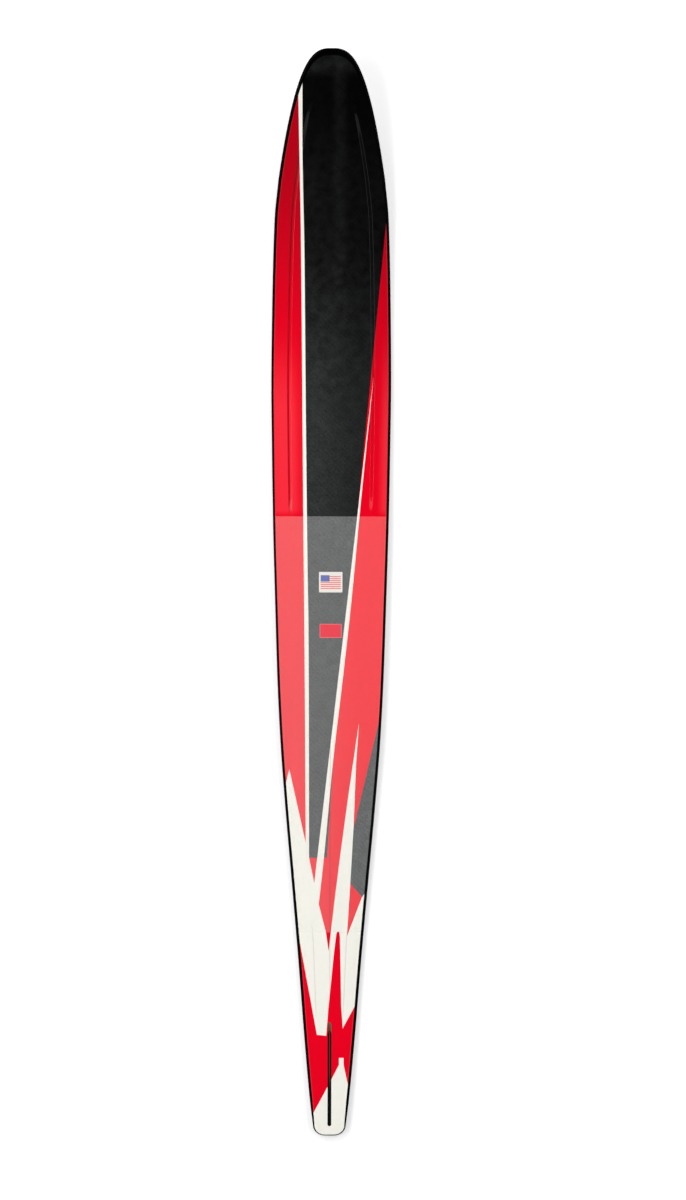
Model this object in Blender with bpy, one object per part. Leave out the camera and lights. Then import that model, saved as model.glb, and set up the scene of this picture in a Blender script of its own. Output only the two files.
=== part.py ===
"""A slalom water ski, bare: no bindings and no fin. Metres, +Z up.

The ski lies base down on the floor. +Y points to the tip, X is the width, and the origin is on the
floor at the middle of the length. Two moulded carbon skins meet at a parting line on the side wall.
A foam core, two edge rails, a tail block with the fin slot and a tip block fill them. Thin coloured
films lie on the deck, and a frosted mounting film with two stickers lies over the middle of them.
"""

import math

import bmesh
import bpy

# The whole ski
LENGTH = 1.676
HALF_WIDTH = 0.0926
TIP_ROCKER = 0.078
TIP_ROCKER_POWER = 2.2
TAIL_ROCKER = 0.008
TIP_THICKNESS = 0.0085
TAIL_THICKNESS = 0.0100
SEAT_THICKNESS = 0.0129
FOOT_THICKNESS = 0.0195

# The outline's two ends
NOSE = 0.203
NOSE_POWER = 0.35
NOSE_FLAT = 0.005
TAIL_CORNER = 0.014
TAIL_CORNER_WIDTH = 0.016

# The cross-section
BEVEL = 0.0035
PARTING_HEIGHT = 0.0035
RAIL_FLAT = 0.0100
TUNNEL_DEPTH = 0.0060
SIDE_LEAN = 0.0012
RIM = 0.0022
RIM_DROP = 0.0018
FLANGE = 0.0255
STEP_RUN = 0.0060
STEP_DROP = 0.0034
FLANGE_FALL = 0.0015
TAIL_RIDGE = 0.0012

# The most of the half width that each part of the section takes where the ski is narrow
LEAN_SHARE = 0.10
RIM_SHARE = 0.15
CREASE_SHARE = 0.50
STEP_SHARE = 0.10
BEVEL_SHARE = 0.25
RAIL_SHARE = 0.20

# The pieces
GAP = 0.0003
SKIN = 0.0013
RAIL_WIDTH = 0.0100
TAIL_BLOCK = 0.195
TIP_BLOCK = 0.110
FILM = 0.0004
FILM_SEAM = 0.0003
TIP_RIM = 0.0110
TAIL_RIM = 0.0020
MAT = 0.0005
STICKER = 0.0003
STRIPED_STICKER_SIZE = (0.0362, 0.0316)
PLAIN_LABEL_SIZE = (0.0339, 0.0216)

# The fin slot: its width, its two ends measured from the tail, and how far the cut core slopes in
# under the deck at the front end
SLOT_WIDTH = 0.0058
SLOT_REAR = 0.0145
SLOT_FRONT = 0.1745
SLOT_SLOPE = 0.0145

# The deck round the slot runs straight from the tail to here, as a seat for the fin clamp
SEAT_FRONT = 0.195

# Shares of the length, from the tail
FLAT_BASE = (0.240, 0.690)
FLAT_DECK = (0.388, 0.4545)
FLAT_MARGIN = 0.003
MAT_ENDS = (0.187, 0.5697)
STRIPED_STICKER_PLACE = 0.5092
PLAIN_LABEL_PLACE = 0.4644

# Share of the length, share of the half width
OUTLINE = (
    (0.0000, 0.2516),
    (0.0326, 0.3261),
    (0.0877, 0.4179),
    (0.1614, 0.5248),
    (0.2350, 0.6415),
    (0.3086, 0.7592),
    (0.3638, 0.8348),
    (0.4190, 0.8855),
    (0.4926, 0.9287),
    (0.5662, 0.9665),
    (0.6398, 0.9892),
    (0.6920, 1.0000),
    (0.7685, 0.9870),
    (0.8422, 0.9525),
    (0.8790, 0.8909),
)

# Share of the length, share of the full thickness under the feet, ahead of the fin seat
THICKNESS = (
    (0.239, 0.872),
    (FLAT_DECK[0], 1.0),
    (FLAT_DECK[1], 1.0),
    (0.626, 0.954),
    (0.776, 0.795),
    (0.907, 0.590),
)

# Share of the length, share of the full depth, drop, fall or height
TUNNEL_ALONG = ((0.0, 0.12), (0.15, 0.70), (0.42, 1.0), (0.70, 0.92), (0.90, 0.50), (0.985, 0.0))
STEP_ALONG = ((0.567, 0.0), (0.600, 0.82), (0.800, 1.0), (0.920, 0.55), (0.955, 0.0))
FALL_ALONG = (
    (0.0, 0.2),
    (0.12, 0.4),
    (0.20, 1.0),
    (0.33, 1.0),
    (FLAT_DECK[0] - FLAT_MARGIN, 0.0),
    (FLAT_DECK[1] + FLAT_MARGIN, 0.0),
    (0.65, 0.8),
    (0.90, 0.8),
    (1.0, 0.2),
)
RIDGE_ALONG = ((0.117, 0.0), (0.180, 1.0), (0.320, 1.0), (FLAT_DECK[0] - FLAT_MARGIN, 0.0))

# How the loft is cut up
TAIL_CORNER_STEPS = 3
NOSE_STEPS = 8
LONGEST_STEP = 0.055
TUNNEL_COLUMNS = (0.0, 0.4, 0.75, 1.0)
SLOT_ROUND_STEPS = 6
SHARP_ANGLE = 25

# Two sides of an outline whose directions cross by less than this run straight on
NEARLY_PARALLEL = 0.001

# Colours, roughness and metallic value
CARBON = ((0.012, 0.013, 0.014), 0.22, 0.0)
FOAM = ((0.78, 0.70, 0.52), 0.85, 0.0)
LAMINATE = ((0.035, 0.030, 0.026), 0.55, 0.0)
RED = ((0.83, 0.0, 0.017), 0.20, 0.0)
WHITE = ((0.93, 0.92, 0.87), 0.25, 0.0)
FROST = ((0.62, 0.62, 0.62), 0.60, 0.0)
LABEL_RED = ((0.60, 0.02, 0.05), 0.35, 0.0)

# Where the slot's front end lies in the drawing of the colour fields, as a share of the length
DRAWN_SLOT_FRONT_SHARE = 0.10412

# Corners of the colour fields: share of the length from the tail, share of the half width, right +.
# A corner named out lies beyond the film's edge, so the film there ends at the rim.
CORNERS = {
    "nose_left_out": (0.980, -0.491),
    "pin_right_fore": (0.925, -0.491),
    "pin_right_chest": (0.814, -0.453),
    "pin_right_waist": (0.667, -0.422),
    "pin_right_mid": (0.529, -0.388),
    "pin_right_aft": (0.456, -0.366),
    "pin_right_foot": (0.2556, -0.349),
    "pin_left_out": (0.966, -0.5645),
    "pin_left_fore": (0.916, -0.5445),
    "pin_left_chest": (0.833, -0.513),
    "pin_left_waist": (0.676, -0.480),
    "pin_left_mid": (0.566, -0.459),
    "pin_left_aft": (0.456, -0.4355),
    "pin_left_foot": (0.269, -0.405),
    "left_flash_apex": (0.3369, -0.682),
    "left_flash_out": (0.3167, -0.768),
    "left_side_out": (0.600, -1.200),
    "left_fore_out": (0.935, -1.000),
    "tail_left_out": (0.200, -0.700),
    "tail_left_top": (0.1885, -0.535),
    "tail_left_notch": (0.0926, -0.210),
    "tail_slot_notch": (0.0919, -0.055),
    "tail_slot_centre": (0.0919, 0.000),
    "dark_right_out": (0.870, 1.010),
    "dark_right_top": (0.840, 0.909),
    "dark_meets_stripe": (0.5725, 0.445),
    "stripe_top": (0.700, 0.709),
    "stripe_left_foot": (0.232, -0.262),
    "stripe_cut_left": (0.2556, -0.214),
    "stripe_cut_right": (0.2556, -0.102),
    "stripe_right_fore": (0.575, 0.485),
    "stripe_right_mid": (0.492, 0.346),
    "stripe_right_aft": (0.419, 0.203),
    "sliver_top": (0.348, 0.054),
    "sliver_foot": (0.2556, -0.050),
    "stripe_right_foot": (0.2127, -0.186),
    "centre_knee": (0.187, -0.065),
    "centre_apex": (0.1695, -0.020),
    "mid_flash_apex": (0.3802, 0.478),
    "mid_flash_left_aft": (0.309, 0.294),
    "mid_flash_left_low": (0.235, 0.119),
    "mid_flash_right_top": (0.3434, 0.432),
    "grey_neck": (0.2826, 0.390),
    "wedge_top": (0.2320, 0.339),
    "wedge_right": (0.2195, 0.535),
    "wedge_foot": (0.1833, 0.285),
    "grey_top": (0.3903, 0.848),
    "grey_out": (0.430, 1.050),
    "right_flash_apex": (0.2260, 0.620),
    "right_flash_out": (0.2420, 0.760),
    "right_side_out": (0.600, 1.200),
    "spike_left": (0.1842, 0.106),
    "spike_tip_left": (0.1875, 0.119),
    "spike_tip_right": (0.1878, 0.157),
    "spike_right": (0.1833, 0.168),
    "spike_cut": (0.1695, 0.072),
    "spike_left_low": (0.1152, -0.024),
    "spike_right_mid": (0.160, 0.178),
    "spike_right_low": (0.120, 0.192),
    "tail_right_notch": (0.0986, 0.219),
    "tail_right_rim": (0.1212, 0.438),
    "tail_right_out": (0.1450, 0.640),
    "tip_tab_right": (0.0650, 0.235),
    "tip_tab_right_top": (0.0715, 0.235),
    "tip_tab_left_top": (0.0715, 0.158),
    "tip_tab_left": (0.0652, 0.158),
    "tip_slot_centre": (0.0480, 0.000),
    "tip_left_rim": (0.0213, -0.260),
    "tip_left_out": (0.0100, -0.420),
    "tip_right_rim": (0.0438, 0.320),
    "tip_right_out": (0.0300, 0.430),
}

PIN_RIGHT = (
    "pin_right_fore",
    "pin_right_chest",
    "pin_right_waist",
    "pin_right_mid",
    "pin_right_aft",
    "pin_right_foot",
)
PIN_LEFT = (
    "pin_left_fore",
    "pin_left_chest",
    "pin_left_waist",
    "pin_left_mid",
    "pin_left_aft",
    "pin_left_foot",
)
STRIPE_RIGHT = ("stripe_right_fore", "stripe_right_mid", "stripe_right_aft", "sliver_top")
MID_FLASH_LEFT = ("mid_flash_apex", "mid_flash_left_aft", "mid_flash_left_low", "centre_apex")
MID_FLASH_RIGHT = ("mid_flash_right_top", "grey_neck")

# Each colour field's corners in order
FIELDS = {
    "white_pinstripe": ("pin_left_out", "nose_left_out") + PIN_RIGHT + PIN_LEFT[::-1],
    "red_panel_left": ("left_side_out", "left_fore_out", "pin_left_out")
    + PIN_LEFT
    + ("left_flash_apex", "left_flash_out"),
    "dark_panel_centre": PIN_RIGHT
    + ("stripe_cut_left", "dark_meets_stripe", "dark_right_top", "dark_right_out"),
    "white_long_stripe": ("stripe_top",)
    + STRIPE_RIGHT
    + ("stripe_cut_right", "stripe_right_foot", "stripe_left_foot"),
    "dark_sliver": ("sliver_top", "sliver_foot", "stripe_cut_right"),
    "red_panel_right": ("dark_right_out", "dark_right_top", "dark_meets_stripe", "stripe_top")
    + STRIPE_RIGHT
    + ("sliver_foot", "stripe_cut_right", "stripe_right_foot", "centre_knee")
    + MID_FLASH_LEFT[::-1]
    + MID_FLASH_RIGHT
    + ("grey_top", "grey_out", "right_side_out"),
    "dark_panel_right": ("grey_out", "grey_top", "grey_neck", "wedge_top", "wedge_right")
    + ("right_flash_apex", "right_flash_out"),
    "red_triangle": ("pin_right_foot", "stripe_cut_left", "stripe_left_foot"),
    "red_wedge": ("wedge_top", "wedge_right", "wedge_foot"),
    "white_flash_left": ("left_flash_apex", "pin_left_foot", "pin_right_foot")
    + ("stripe_left_foot", "stripe_right_foot", "centre_knee", "centre_apex", "spike_cut")
    + ("spike_left_low", "tail_slot_notch", "tail_left_notch", "tail_left_top")
    + ("tail_left_out", "left_flash_out"),
    "white_flash_middle": MID_FLASH_LEFT
    + ("spike_cut", "spike_left", "spike_tip_left", "spike_tip_right", "spike_right")
    + ("wedge_foot", "wedge_top", "grey_neck", "mid_flash_right_top"),
    "white_flash_right": ("right_flash_out", "right_flash_apex", "wedge_right", "wedge_foot")
    + ("spike_right", "spike_right_mid", "spike_right_low", "tail_right_notch")
    + ("tail_right_rim", "tail_right_out"),
    "red_tail_left": ("tail_left_out", "tail_left_top", "tail_left_notch", "tail_slot_notch")
    + ("tail_slot_centre", "tip_slot_centre", "tip_left_rim", "tip_left_out"),
    "red_tail_right": ("spike_tip_left", "spike_tip_right", "spike_right", "spike_right_mid")
    + ("spike_right_low", "tail_right_notch", "tail_right_rim", "tail_right_out")
    + ("tip_right_out", "tip_right_rim", "tip_tab_right", "tip_tab_right_top")
    + ("tip_tab_left_top", "tip_tab_left", "tip_slot_centre", "tail_slot_centre")
    + ("tail_slot_notch", "spike_left_low", "spike_cut", "spike_left"),
    "white_tail_tip": ("tip_left_out", "tip_left_rim", "tip_slot_centre", "tip_tab_left")
    + ("tip_tab_left_top", "tip_tab_right_top", "tip_tab_right", "tip_right_rim")
    + ("tip_right_out",),
}
FIELDS_ROUND_THE_SLOT = ("red_tail_left", "red_tail_right", "white_tail_tip")
FIELD_FINISH = {"white": WHITE, "red": RED, "dark": CARBON}


def clear_scene():
    for thing in list(bpy.data.objects):
        bpy.data.objects.remove(thing)


def smooth_through(knots):
    """A curve through the knots that never overshoots them and is level where two knots are."""
    runs = [b[0] - a[0] for a, b in zip(knots, knots[1:])]
    rises = [(b[1] - a[1]) / run for a, b, run in zip(knots, knots[1:], runs)]
    slopes = [rises[0]]
    for before, after in zip(rises, rises[1:]):
        meet = 0.0 if before * after <= 0 else 2 * before * after / (before + after)
        slopes.append(meet)
    slopes.append(rises[-1])

    def value(place):
        place = min(max(place, knots[0][0]), knots[-1][0])
        i = 0
        while place > knots[i + 1][0] and i < len(runs) - 1:
            i += 1
        t = (place - knots[i][0]) / runs[i]
        low, high = knots[i][1], knots[i + 1][1]
        bend = t * (1 - t)
        return (
            low + (high - low) * t * t * (3 - 2 * t)
            + runs[i] * bend * ((1 - t) * slopes[i] - t * slopes[i + 1])
        )

    return value


outline_share = smooth_through(OUTLINE)
tunnel_share = smooth_through(TUNNEL_ALONG)
step_share = smooth_through(STEP_ALONG)
fall_share = smooth_through(FALL_ALONG)
ridge_share = smooth_through(RIDGE_ALONG)
thickness_ahead = smooth_through(
    ((SEAT_FRONT / LENGTH, SEAT_THICKNESS),)
    + tuple((share, full * FOOT_THICKNESS) for share, full in THICKNESS)
    + ((1.0, TIP_THICKNESS),)
)


def half_width(place):
    """Half the width at a distance from the tail: a smooth side, a blunt nose, oval tail corners."""
    from_tip = LENGTH - place
    if from_tip < NOSE:
        side = HALF_WIDTH * OUTLINE[-1][1] * (from_tip / NOSE) ** NOSE_POWER
    else:
        nose_start = OUTLINE[-1][0] * LENGTH
        side = HALF_WIDTH * outline_share(place / (LENGTH - NOSE) * nose_start / LENGTH)
    if place < TAIL_CORNER:
        side -= TAIL_CORNER_WIDTH * (1 - math.sqrt(1 - (1 - place / TAIL_CORNER) ** 2))
    return max(side, NOSE_FLAT)


def rail_height(place):
    """Height of the base's flat rails: level in the middle, curving up to both ends."""
    rear, front = (share * LENGTH for share in FLAT_BASE)
    if place < rear:
        return TAIL_ROCKER * ((rear - place) / rear) ** 2
    if place > front:
        return TIP_ROCKER * ((place - front) / (LENGTH - front)) ** TIP_ROCKER_POWER
    return 0.0


def deck_height(place):
    """Height of the deck's middle: straight round the fin slot, then base plus thickness."""
    if place < SEAT_FRONT:
        rear = TAIL_ROCKER + TAIL_THICKNESS
        front = rail_height(SEAT_FRONT) + SEAT_THICKNESS
        return rear + (front - rear) * place / SEAT_FRONT
    return rail_height(place) + thickness_ahead(place / LENGTH)


def stations():
    """Distances from the tail at which the ski's cross-section is taken."""
    breaks = {TAIL_CORNER, SEAT_FRONT, TAIL_BLOCK, LENGTH - TIP_BLOCK}
    breaks |= {share * LENGTH for share in FLAT_BASE + FLAT_DECK + MAT_ENDS}
    breaks |= {share * LENGTH for share, _ in (STEP_ALONG[0], STEP_ALONG[1], STEP_ALONG[-1])}
    breaks |= {LENGTH - NOSE * (i / NOSE_STEPS) ** 3 for i in range(NOSE_STEPS + 1)}
    ends = sorted(breaks)
    places = [
        TAIL_CORNER * (1 - math.cos(math.pi / 2 * i / TAIL_CORNER_STEPS))
        for i in range(TAIL_CORNER_STEPS)
    ]
    for start, end in zip(ends, ends[1:]):
        steps = max(1, math.ceil((end - start) / LONGEST_STEP))
        places += [start + (end - start) * i / steps for i in range(steps)]
    return places + [LENGTH]


def moved_in(place, inset):
    """A place near either end moved inwards by the inset, so inner shapes clear the end walls."""
    if place < TAIL_CORNER:
        return place + inset * (1 - place / TAIL_CORNER)
    from_tip = LENGTH - place
    if from_tip < NOSE:
        return place - inset * (1 - from_tip / NOSE)
    return place


def deck_half_section(place, inset):
    """Points of the deck's right half, centre to rim, as (x, z), the whole shape drawn in by inset."""
    half = half_width(place) - inset
    place = moved_in(place, inset)
    share = place / LENGTH
    edge = half - min(SIDE_LEAN, half * LEAN_SHARE)
    film = edge - min(RIM, half * RIM_SHARE)
    crease = max(half - FLANGE, half * CREASE_SHARE)
    shoulder = crease - min(STEP_RUN, half * STEP_SHARE)
    top = deck_height(place) - inset
    ridge = TAIL_RIDGE * ridge_share(share)
    low = top - STEP_DROP * step_share(share)
    film_height = low - FLANGE_FALL * fall_share(share)
    return [
        (0.0, top + ridge),
        (shoulder, top),
        (crease, low),
        (film, film_height),
        (edge, film_height - RIM_DROP),
    ]


def base_half_section(place, inset):
    """Points of the base's right half, centre to the bevel's foot, as (x, z), drawn in by inset."""
    half = half_width(place) - inset
    place = moved_in(place, inset)
    bevel = min(BEVEL, half * BEVEL_SHARE)
    tunnel = half - bevel - min(RAIL_FLAT, half * RAIL_SHARE)
    rail = rail_height(place) + inset
    depth = TUNNEL_DEPTH * tunnel_share(place / LENGTH)
    arch = [(tunnel * x, rail + depth * (1 - x * x)) for x in TUNNEL_COLUMNS]
    return arch + [(half - bevel, rail)]


def parting_point(place, inset):
    """The widest point, where the two skins meet, as (x, z)."""
    half = half_width(place) - inset
    return (half, rail_height(moved_in(place, inset)) + PARTING_HEIGHT)


def whole(half_section):
    """A right half mirrored to the left and joined at the centre."""
    return [(-x, z) for x, z in half_section[:0:-1]] + half_section


def at_place(section, place, inset):
    y = moved_in(place, inset) - LENGTH / 2
    return [(x, y, z) for x, z in section]


def add_material(thing, finish):
    colour, roughness, metallic = finish
    material = bpy.data.materials.new(thing.name)
    material.use_nodes = True
    shader = material.node_tree.nodes["Principled BSDF"]
    shader.inputs["Base Color"].default_value = (*colour, 1.0)
    shader.inputs["Roughness"].default_value = roughness
    shader.inputs["Metallic"].default_value = metallic
    material.diffuse_color = (*colour, 1.0)
    thing.data.materials.append(material)


def mesh_object(name, mesh_points, faces, parent):
    """An object of triangles from points and faces, closed and facing out."""
    mesh = bpy.data.meshes.new(name)
    mesh.from_pydata(mesh_points, [], faces)
    work = bmesh.new()
    work.from_mesh(mesh)
    bmesh.ops.recalc_face_normals(work, faces=work.faces)
    bmesh.ops.triangulate(work, faces=work.faces)
    work.to_mesh(mesh)
    work.free()
    mesh.shade_smooth()
    mesh.set_sharp_from_angle(angle=math.radians(SHARP_ANGLE))
    thing = bpy.data.objects.new(name, mesh)
    bpy.context.scene.collection.objects.link(thing)
    thing.parent = parent
    return thing


def strip_faces(rows, first, closed_loop):
    """Pairs of triangles between neighbouring rows of points, all cut along the same diagonal."""
    width = len(rows[0])
    faces = []
    for i in range(len(rows) - 1):
        for j in range(width if closed_loop else width - 1):
            a = first + i * width + j
            b = first + i * width + (j + 1) % width
            faces += [(a, b, b + width), (a, b + width, a + width)]
    return faces


def loft(name, loops, parent):
    """A solid through closed loops of points, with flat ends."""
    width = len(loops[0])
    points = [point for loop in loops for point in loop]
    faces = strip_faces(loops, 0, True)
    faces.append(tuple(range(width)))
    faces.append(tuple(range(len(points) - width, len(points))))
    return mesh_object(name, points, faces, parent)


def shell(name, outer, inner, parent):
    """A tray with a wall: an outer and an inner surface joined along their open rims."""
    width = len(outer[0])
    count = len(outer) * width
    points = [point for row in outer + inner for point in row]
    faces = strip_faces(outer, 0, False) + strip_faces(inner, count, False)
    for i in range(len(outer) - 1):
        for column in (0, width - 1):
            a, b = i * width + column, (i + 1) * width + column
            faces.append((a, b, b + count, a + count))
    for row in (0, len(outer) - 1):
        left, right = row * width, row * width + width - 1
        faces.append(tuple(range(left, right + 1)))
        faces.append(tuple(range(count + left, count + right + 1)))
        faces.append((left, right, right + count, left + count))
    return mesh_object(name, points, faces, parent)


def skin_rows(half_section, inset, rim_shift):
    """Rows of a skin's surface from parting line to parting line, at every station."""
    rows = []
    for place in stations():
        x, z = parting_point(place, inset)
        section = whole(half_section(place, inset) + [(x, z + rim_shift)])
        rows.append(at_place(section, place, inset))
    return rows


def make_skins(parent):
    for name, half_section, rim_shift in (
        ("deck_skin", deck_half_section, GAP / 2),
        ("base_skin", base_half_section, -GAP / 2),
    ):
        outer = skin_rows(half_section, 0.0, rim_shift)
        inner = skin_rows(half_section, SKIN, rim_shift)
        add_material(shell(name, outer, inner, parent), CARBON)


def places_between(start, end):
    return [start] + [place for place in stations() if start < place < end] + [end]


def height_on(half_section, x):
    """Height of a half section above x, by straight lines between its points."""
    for (x0, z0), (x1, z1) in zip(half_section, half_section[1:]):
        if x <= x1:
            return z0 + (z1 - z0) * (x - x0) / (x1 - x0)
    return half_section[-1][1]


def make_end_blocks(parent):
    """The tail block and the tip block fill the skins' two ends."""
    inset = SKIN + GAP
    for name, start, end in (
        ("tail_block", 0.0, TAIL_BLOCK),
        ("tip_block", LENGTH - TIP_BLOCK, LENGTH),
    ):
        loops = []
        for place in places_between(start, end):
            deck = whole(deck_half_section(place, inset) + [parting_point(place, inset)])
            base = whole(base_half_section(place, inset))
            loops.append(at_place(deck + base[::-1], place, inset))
        add_material(loft(name, loops, parent), LAMINATE)


def core_places():
    return places_between(TAIL_BLOCK + GAP, LENGTH - TIP_BLOCK - GAP)


def rail_inner_face(place):
    return half_width(place) - SKIN - GAP - RAIL_WIDTH


def make_core(parent):
    """The foam core fills the skins between the two rails and the two end blocks."""
    inset = SKIN + GAP
    loops = []
    for place in core_places():
        side = rail_inner_face(place) - GAP
        halves = []
        for half_section in (deck_half_section, base_half_section):
            points = half_section(place, inset)
            kept = [point for point in points if point[0] < side - GAP]
            halves.append(whole(kept + [(side, height_on(points, side))]))
        loops.append(at_place(halves[0] + halves[1][::-1], place, inset))
    add_material(loft("foam_core", loops, parent), FOAM)


def make_rails(parent):
    """A solid laminate rail along each side, shaped to the skins outside and square to the core."""
    inset = SKIN + GAP
    for name, sign in (("rail_left", -1), ("rail_right", 1)):
        loops = []
        for place in core_places():
            side = rail_inner_face(place)
            deck = deck_half_section(place, inset)
            base = base_half_section(place, inset)
            section = [(side, height_on(base, side)), base[-1], parting_point(place, inset)]
            section += [deck[-1], deck[-2], (side, height_on(deck, side))]
            section = [(sign * x, z) for x, z in section]
            loops.append(at_place(section, place, inset))
        add_material(loft(name, loops, parent), LAMINATE)


def cutter(name, levels, parent):
    """A solid through outlines of as many points, each at its height, kept out of renders."""
    count = len(levels[0][1])
    points = [(x, y, z) for z, outline in levels for x, y in outline]
    faces = [tuple(range(count)), tuple(range(len(points) - count, len(points)))]
    for first in range(0, len(points) - count, count):
        for i in range(count):
            a, b = first + i, first + (i + 1) % count
            faces.append((a, b, b + count, a + count))
    thing = mesh_object(name, points, faces, parent)
    thing.hide_render = True
    thing.display_type = "WIRE"
    return thing


def upright(name, outline, parent):
    """A cutter with the same outline from below the ski to above it."""
    heights = (-TAIL_THICKNESS, TIP_ROCKER + FOOT_THICKNESS)
    return cutter(name, [(height, outline) for height in heights], parent)


def slot_outline(front):
    """The slot seen from above: two straight sides and two half-round ends."""
    radius = SLOT_WIDTH / 2
    outline = []
    for centre, start in ((front - radius, 0.0), (SLOT_REAR + radius, math.pi)):
        for i in range(SLOT_ROUND_STEPS + 1):
            angle = start + math.pi * i / SLOT_ROUND_STEPS
            y = centre - LENGTH / 2 + radius * math.sin(angle)
            outline.append((radius * math.cos(angle), y))
    return outline


def slot_cutter(parent):
    """The slot through both skins and the core, whose front end slopes between the two skins."""
    bottom, top = -TAIL_THICKNESS, TIP_ROCKER + FOOT_THICKNESS
    base_skin_top = base_half_section(SLOT_FRONT, SKIN)[0][1]
    deck_skin_foot = deck_half_section(SLOT_FRONT, SKIN)[0][1]
    short, full = slot_outline(SLOT_FRONT - SLOT_SLOPE), slot_outline(SLOT_FRONT)
    levels = [(bottom, short), (base_skin_top, short), (deck_skin_foot, full), (top, full)]
    return cutter("fin_slot", levels, parent)


def boolean(thing, operation, other):
    modifier = thing.modifiers.new(other.name, "BOOLEAN")
    modifier.operation = operation
    modifier.solver = "EXACT"
    modifier.object = other


def drawn_in(outline, distance):
    """An outline in plan with each side moved inwards by the distance."""
    count = len(outline)
    area = sum(
        outline[i][0] * outline[(i + 1) % count][1] - outline[(i + 1) % count][0] * outline[i][1]
        for i in range(count)
    )
    turn = 1 if area > 0 else -1
    sides = []
    for (x0, y0), (x1, y1) in zip(outline, outline[1:] + outline[:1]):
        run = math.hypot(x1 - x0, y1 - y0)
        along = ((x1 - x0) / run, (y1 - y0) / run)
        start = (x0 - turn * along[1] * distance, y0 + turn * along[0] * distance)
        sides.append((start, along))
    moved = []
    for i in range(count):
        (ax, ay), (adx, ady) = sides[i - 1]
        (bx, by), (bdx, bdy) = sides[i]
        cross = adx * bdy - ady * bdx
        if abs(cross) < NEARLY_PARALLEL:
            moved.append((bx, by))
            continue
        reach = ((bx - ax) * bdy - (by - ay) * bdx) / cross
        moved.append((ax + reach * adx, ay + reach * ady))
    return moved


def corner_in_plan(name):
    """A corner as (x, y). Those beside the slot keep to the slot, and the rest to the length ahead."""
    share, across = CORNERS[name]
    if share < DRAWN_SLOT_FRONT_SHARE:
        place = SLOT_FRONT * share / DRAWN_SLOT_FRONT_SHARE
    else:
        ahead = (share - DRAWN_SLOT_FRONT_SHARE) / (1 - DRAWN_SLOT_FRONT_SHARE)
        place = SLOT_FRONT + (LENGTH - SLOT_FRONT) * ahead
    return (across * HALF_WIDTH, place - LENGTH / 2)


def nose_of_film():
    """The front edge of the dark film: the ski's own nose, set back by the tip rim."""
    margin = SIDE_LEAN + RIM
    right = []
    for i in range(NOSE_STEPS - 1):
        from_tip = NOSE * (i / NOSE_STEPS) ** 3
        place = LENGTH - from_tip - TIP_RIM * (1 - from_tip / NOSE)
        right.append((half_width(LENGTH - from_tip) - margin, place - LENGTH / 2))
    left = [(-x, y) for x, y in right if y > corner_in_plan("nose_left_out")[1]]
    return right[::-1] + left


def field_outline(name):
    outline = [corner_in_plan(corner) for corner in FIELDS[name]]
    if name == "dark_panel_centre":
        outline += nose_of_film() + [corner_in_plan("nose_left_out")]
    if name == "white_tail_tip":
        end = TAIL_RIM - LENGTH / 2
        outline += [(HALF_WIDTH, end), (-HALF_WIDTH, end)]
    return outline


def sheet(name, lift, thickness, parent):
    """A thin sheet parallel to the deck, rim to rim, lifted off it."""
    rows = {0.0: [], thickness: []}
    for place in stations():
        section = whole(deck_half_section(place, 0.0)[:-1])
        for more, made in rows.items():
            raised = [(x, z + lift + more) for x, z in section]
            made.append(at_place(raised, place, 0.0))
    return shell(name, rows[thickness], rows[0.0], parent)


def make_fields(slot, parent):
    """The coloured films, each cut from a sheet by its outline, with a seam to its neighbours."""
    for name in FIELDS:
        film = sheet(name, GAP, FILM, parent)
        outline = drawn_in(field_outline(name), FILM_SEAM / 2)
        boolean(film, "INTERSECT", upright("outline_of_" + name, outline, parent))
        if name in FIELDS_ROUND_THE_SLOT:
            boolean(film, "DIFFERENCE", slot)
        add_material(film, FIELD_FINISH[name.split("_")[0]])


def rectangle(size, share):
    x, y = size[0] / 2, size[1] / 2
    middle = share * LENGTH - LENGTH / 2
    return [(-x, middle - y), (x, middle - y), (x, middle + y), (-x, middle + y)]


def make_mat_and_stickers(parent):
    """The frosted mounting film over the middle, and the two stickers on it."""
    mat_lift = GAP + FILM + GAP
    rear, front = (share * LENGTH - LENGTH / 2 for share in MAT_ENDS)
    mat_outline = [(-HALF_WIDTH, rear), (HALF_WIDTH, rear), (HALF_WIDTH, front), (-HALF_WIDTH, front)]
    sticker_lift = mat_lift + MAT + GAP
    for name, lift, thickness, outline, finish in (
        ("mounting_film", mat_lift, MAT, mat_outline, FROST),
        (
            "striped_sticker",
            sticker_lift,
            STICKER,
            rectangle(STRIPED_STICKER_SIZE, STRIPED_STICKER_PLACE),
            WHITE,
        ),
        (
            "plain_label",
            sticker_lift,
            STICKER,
            rectangle(PLAIN_LABEL_SIZE, PLAIN_LABEL_PLACE),
            LABEL_RED,
        ),
    ):
        film = sheet(name, lift, thickness, parent)
        boolean(film, "INTERSECT", upright("outline_of_" + name, outline, parent))
        add_material(film, finish)


def main():
    clear_scene()
    ski = bpy.data.objects.new("slalom_ski", None)
    bpy.context.scene.collection.objects.link(ski)
    make_skins(ski)
    make_end_blocks(ski)
    make_core(ski)
    make_rails(ski)
    slot = slot_cutter(ski)
    for name in ("deck_skin", "base_skin", "tail_block"):
        boolean(bpy.data.objects[name], "DIFFERENCE", slot)
    make_fields(slot, ski)
    make_mat_and_stickers(ski)


main()
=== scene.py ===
"""The looks of a bare slalom water ski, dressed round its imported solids. Metres, +Z up.

+Y points to the tip, X is the width, and the origin is on the floor at the middle of the length.
The moulded hull is two height functions of the plan, deck_z and base_z, cut off by its outline.
Two carbon shells roll round that outline, and the coloured films lie flush in the deck's recess.
"""

import math

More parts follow.
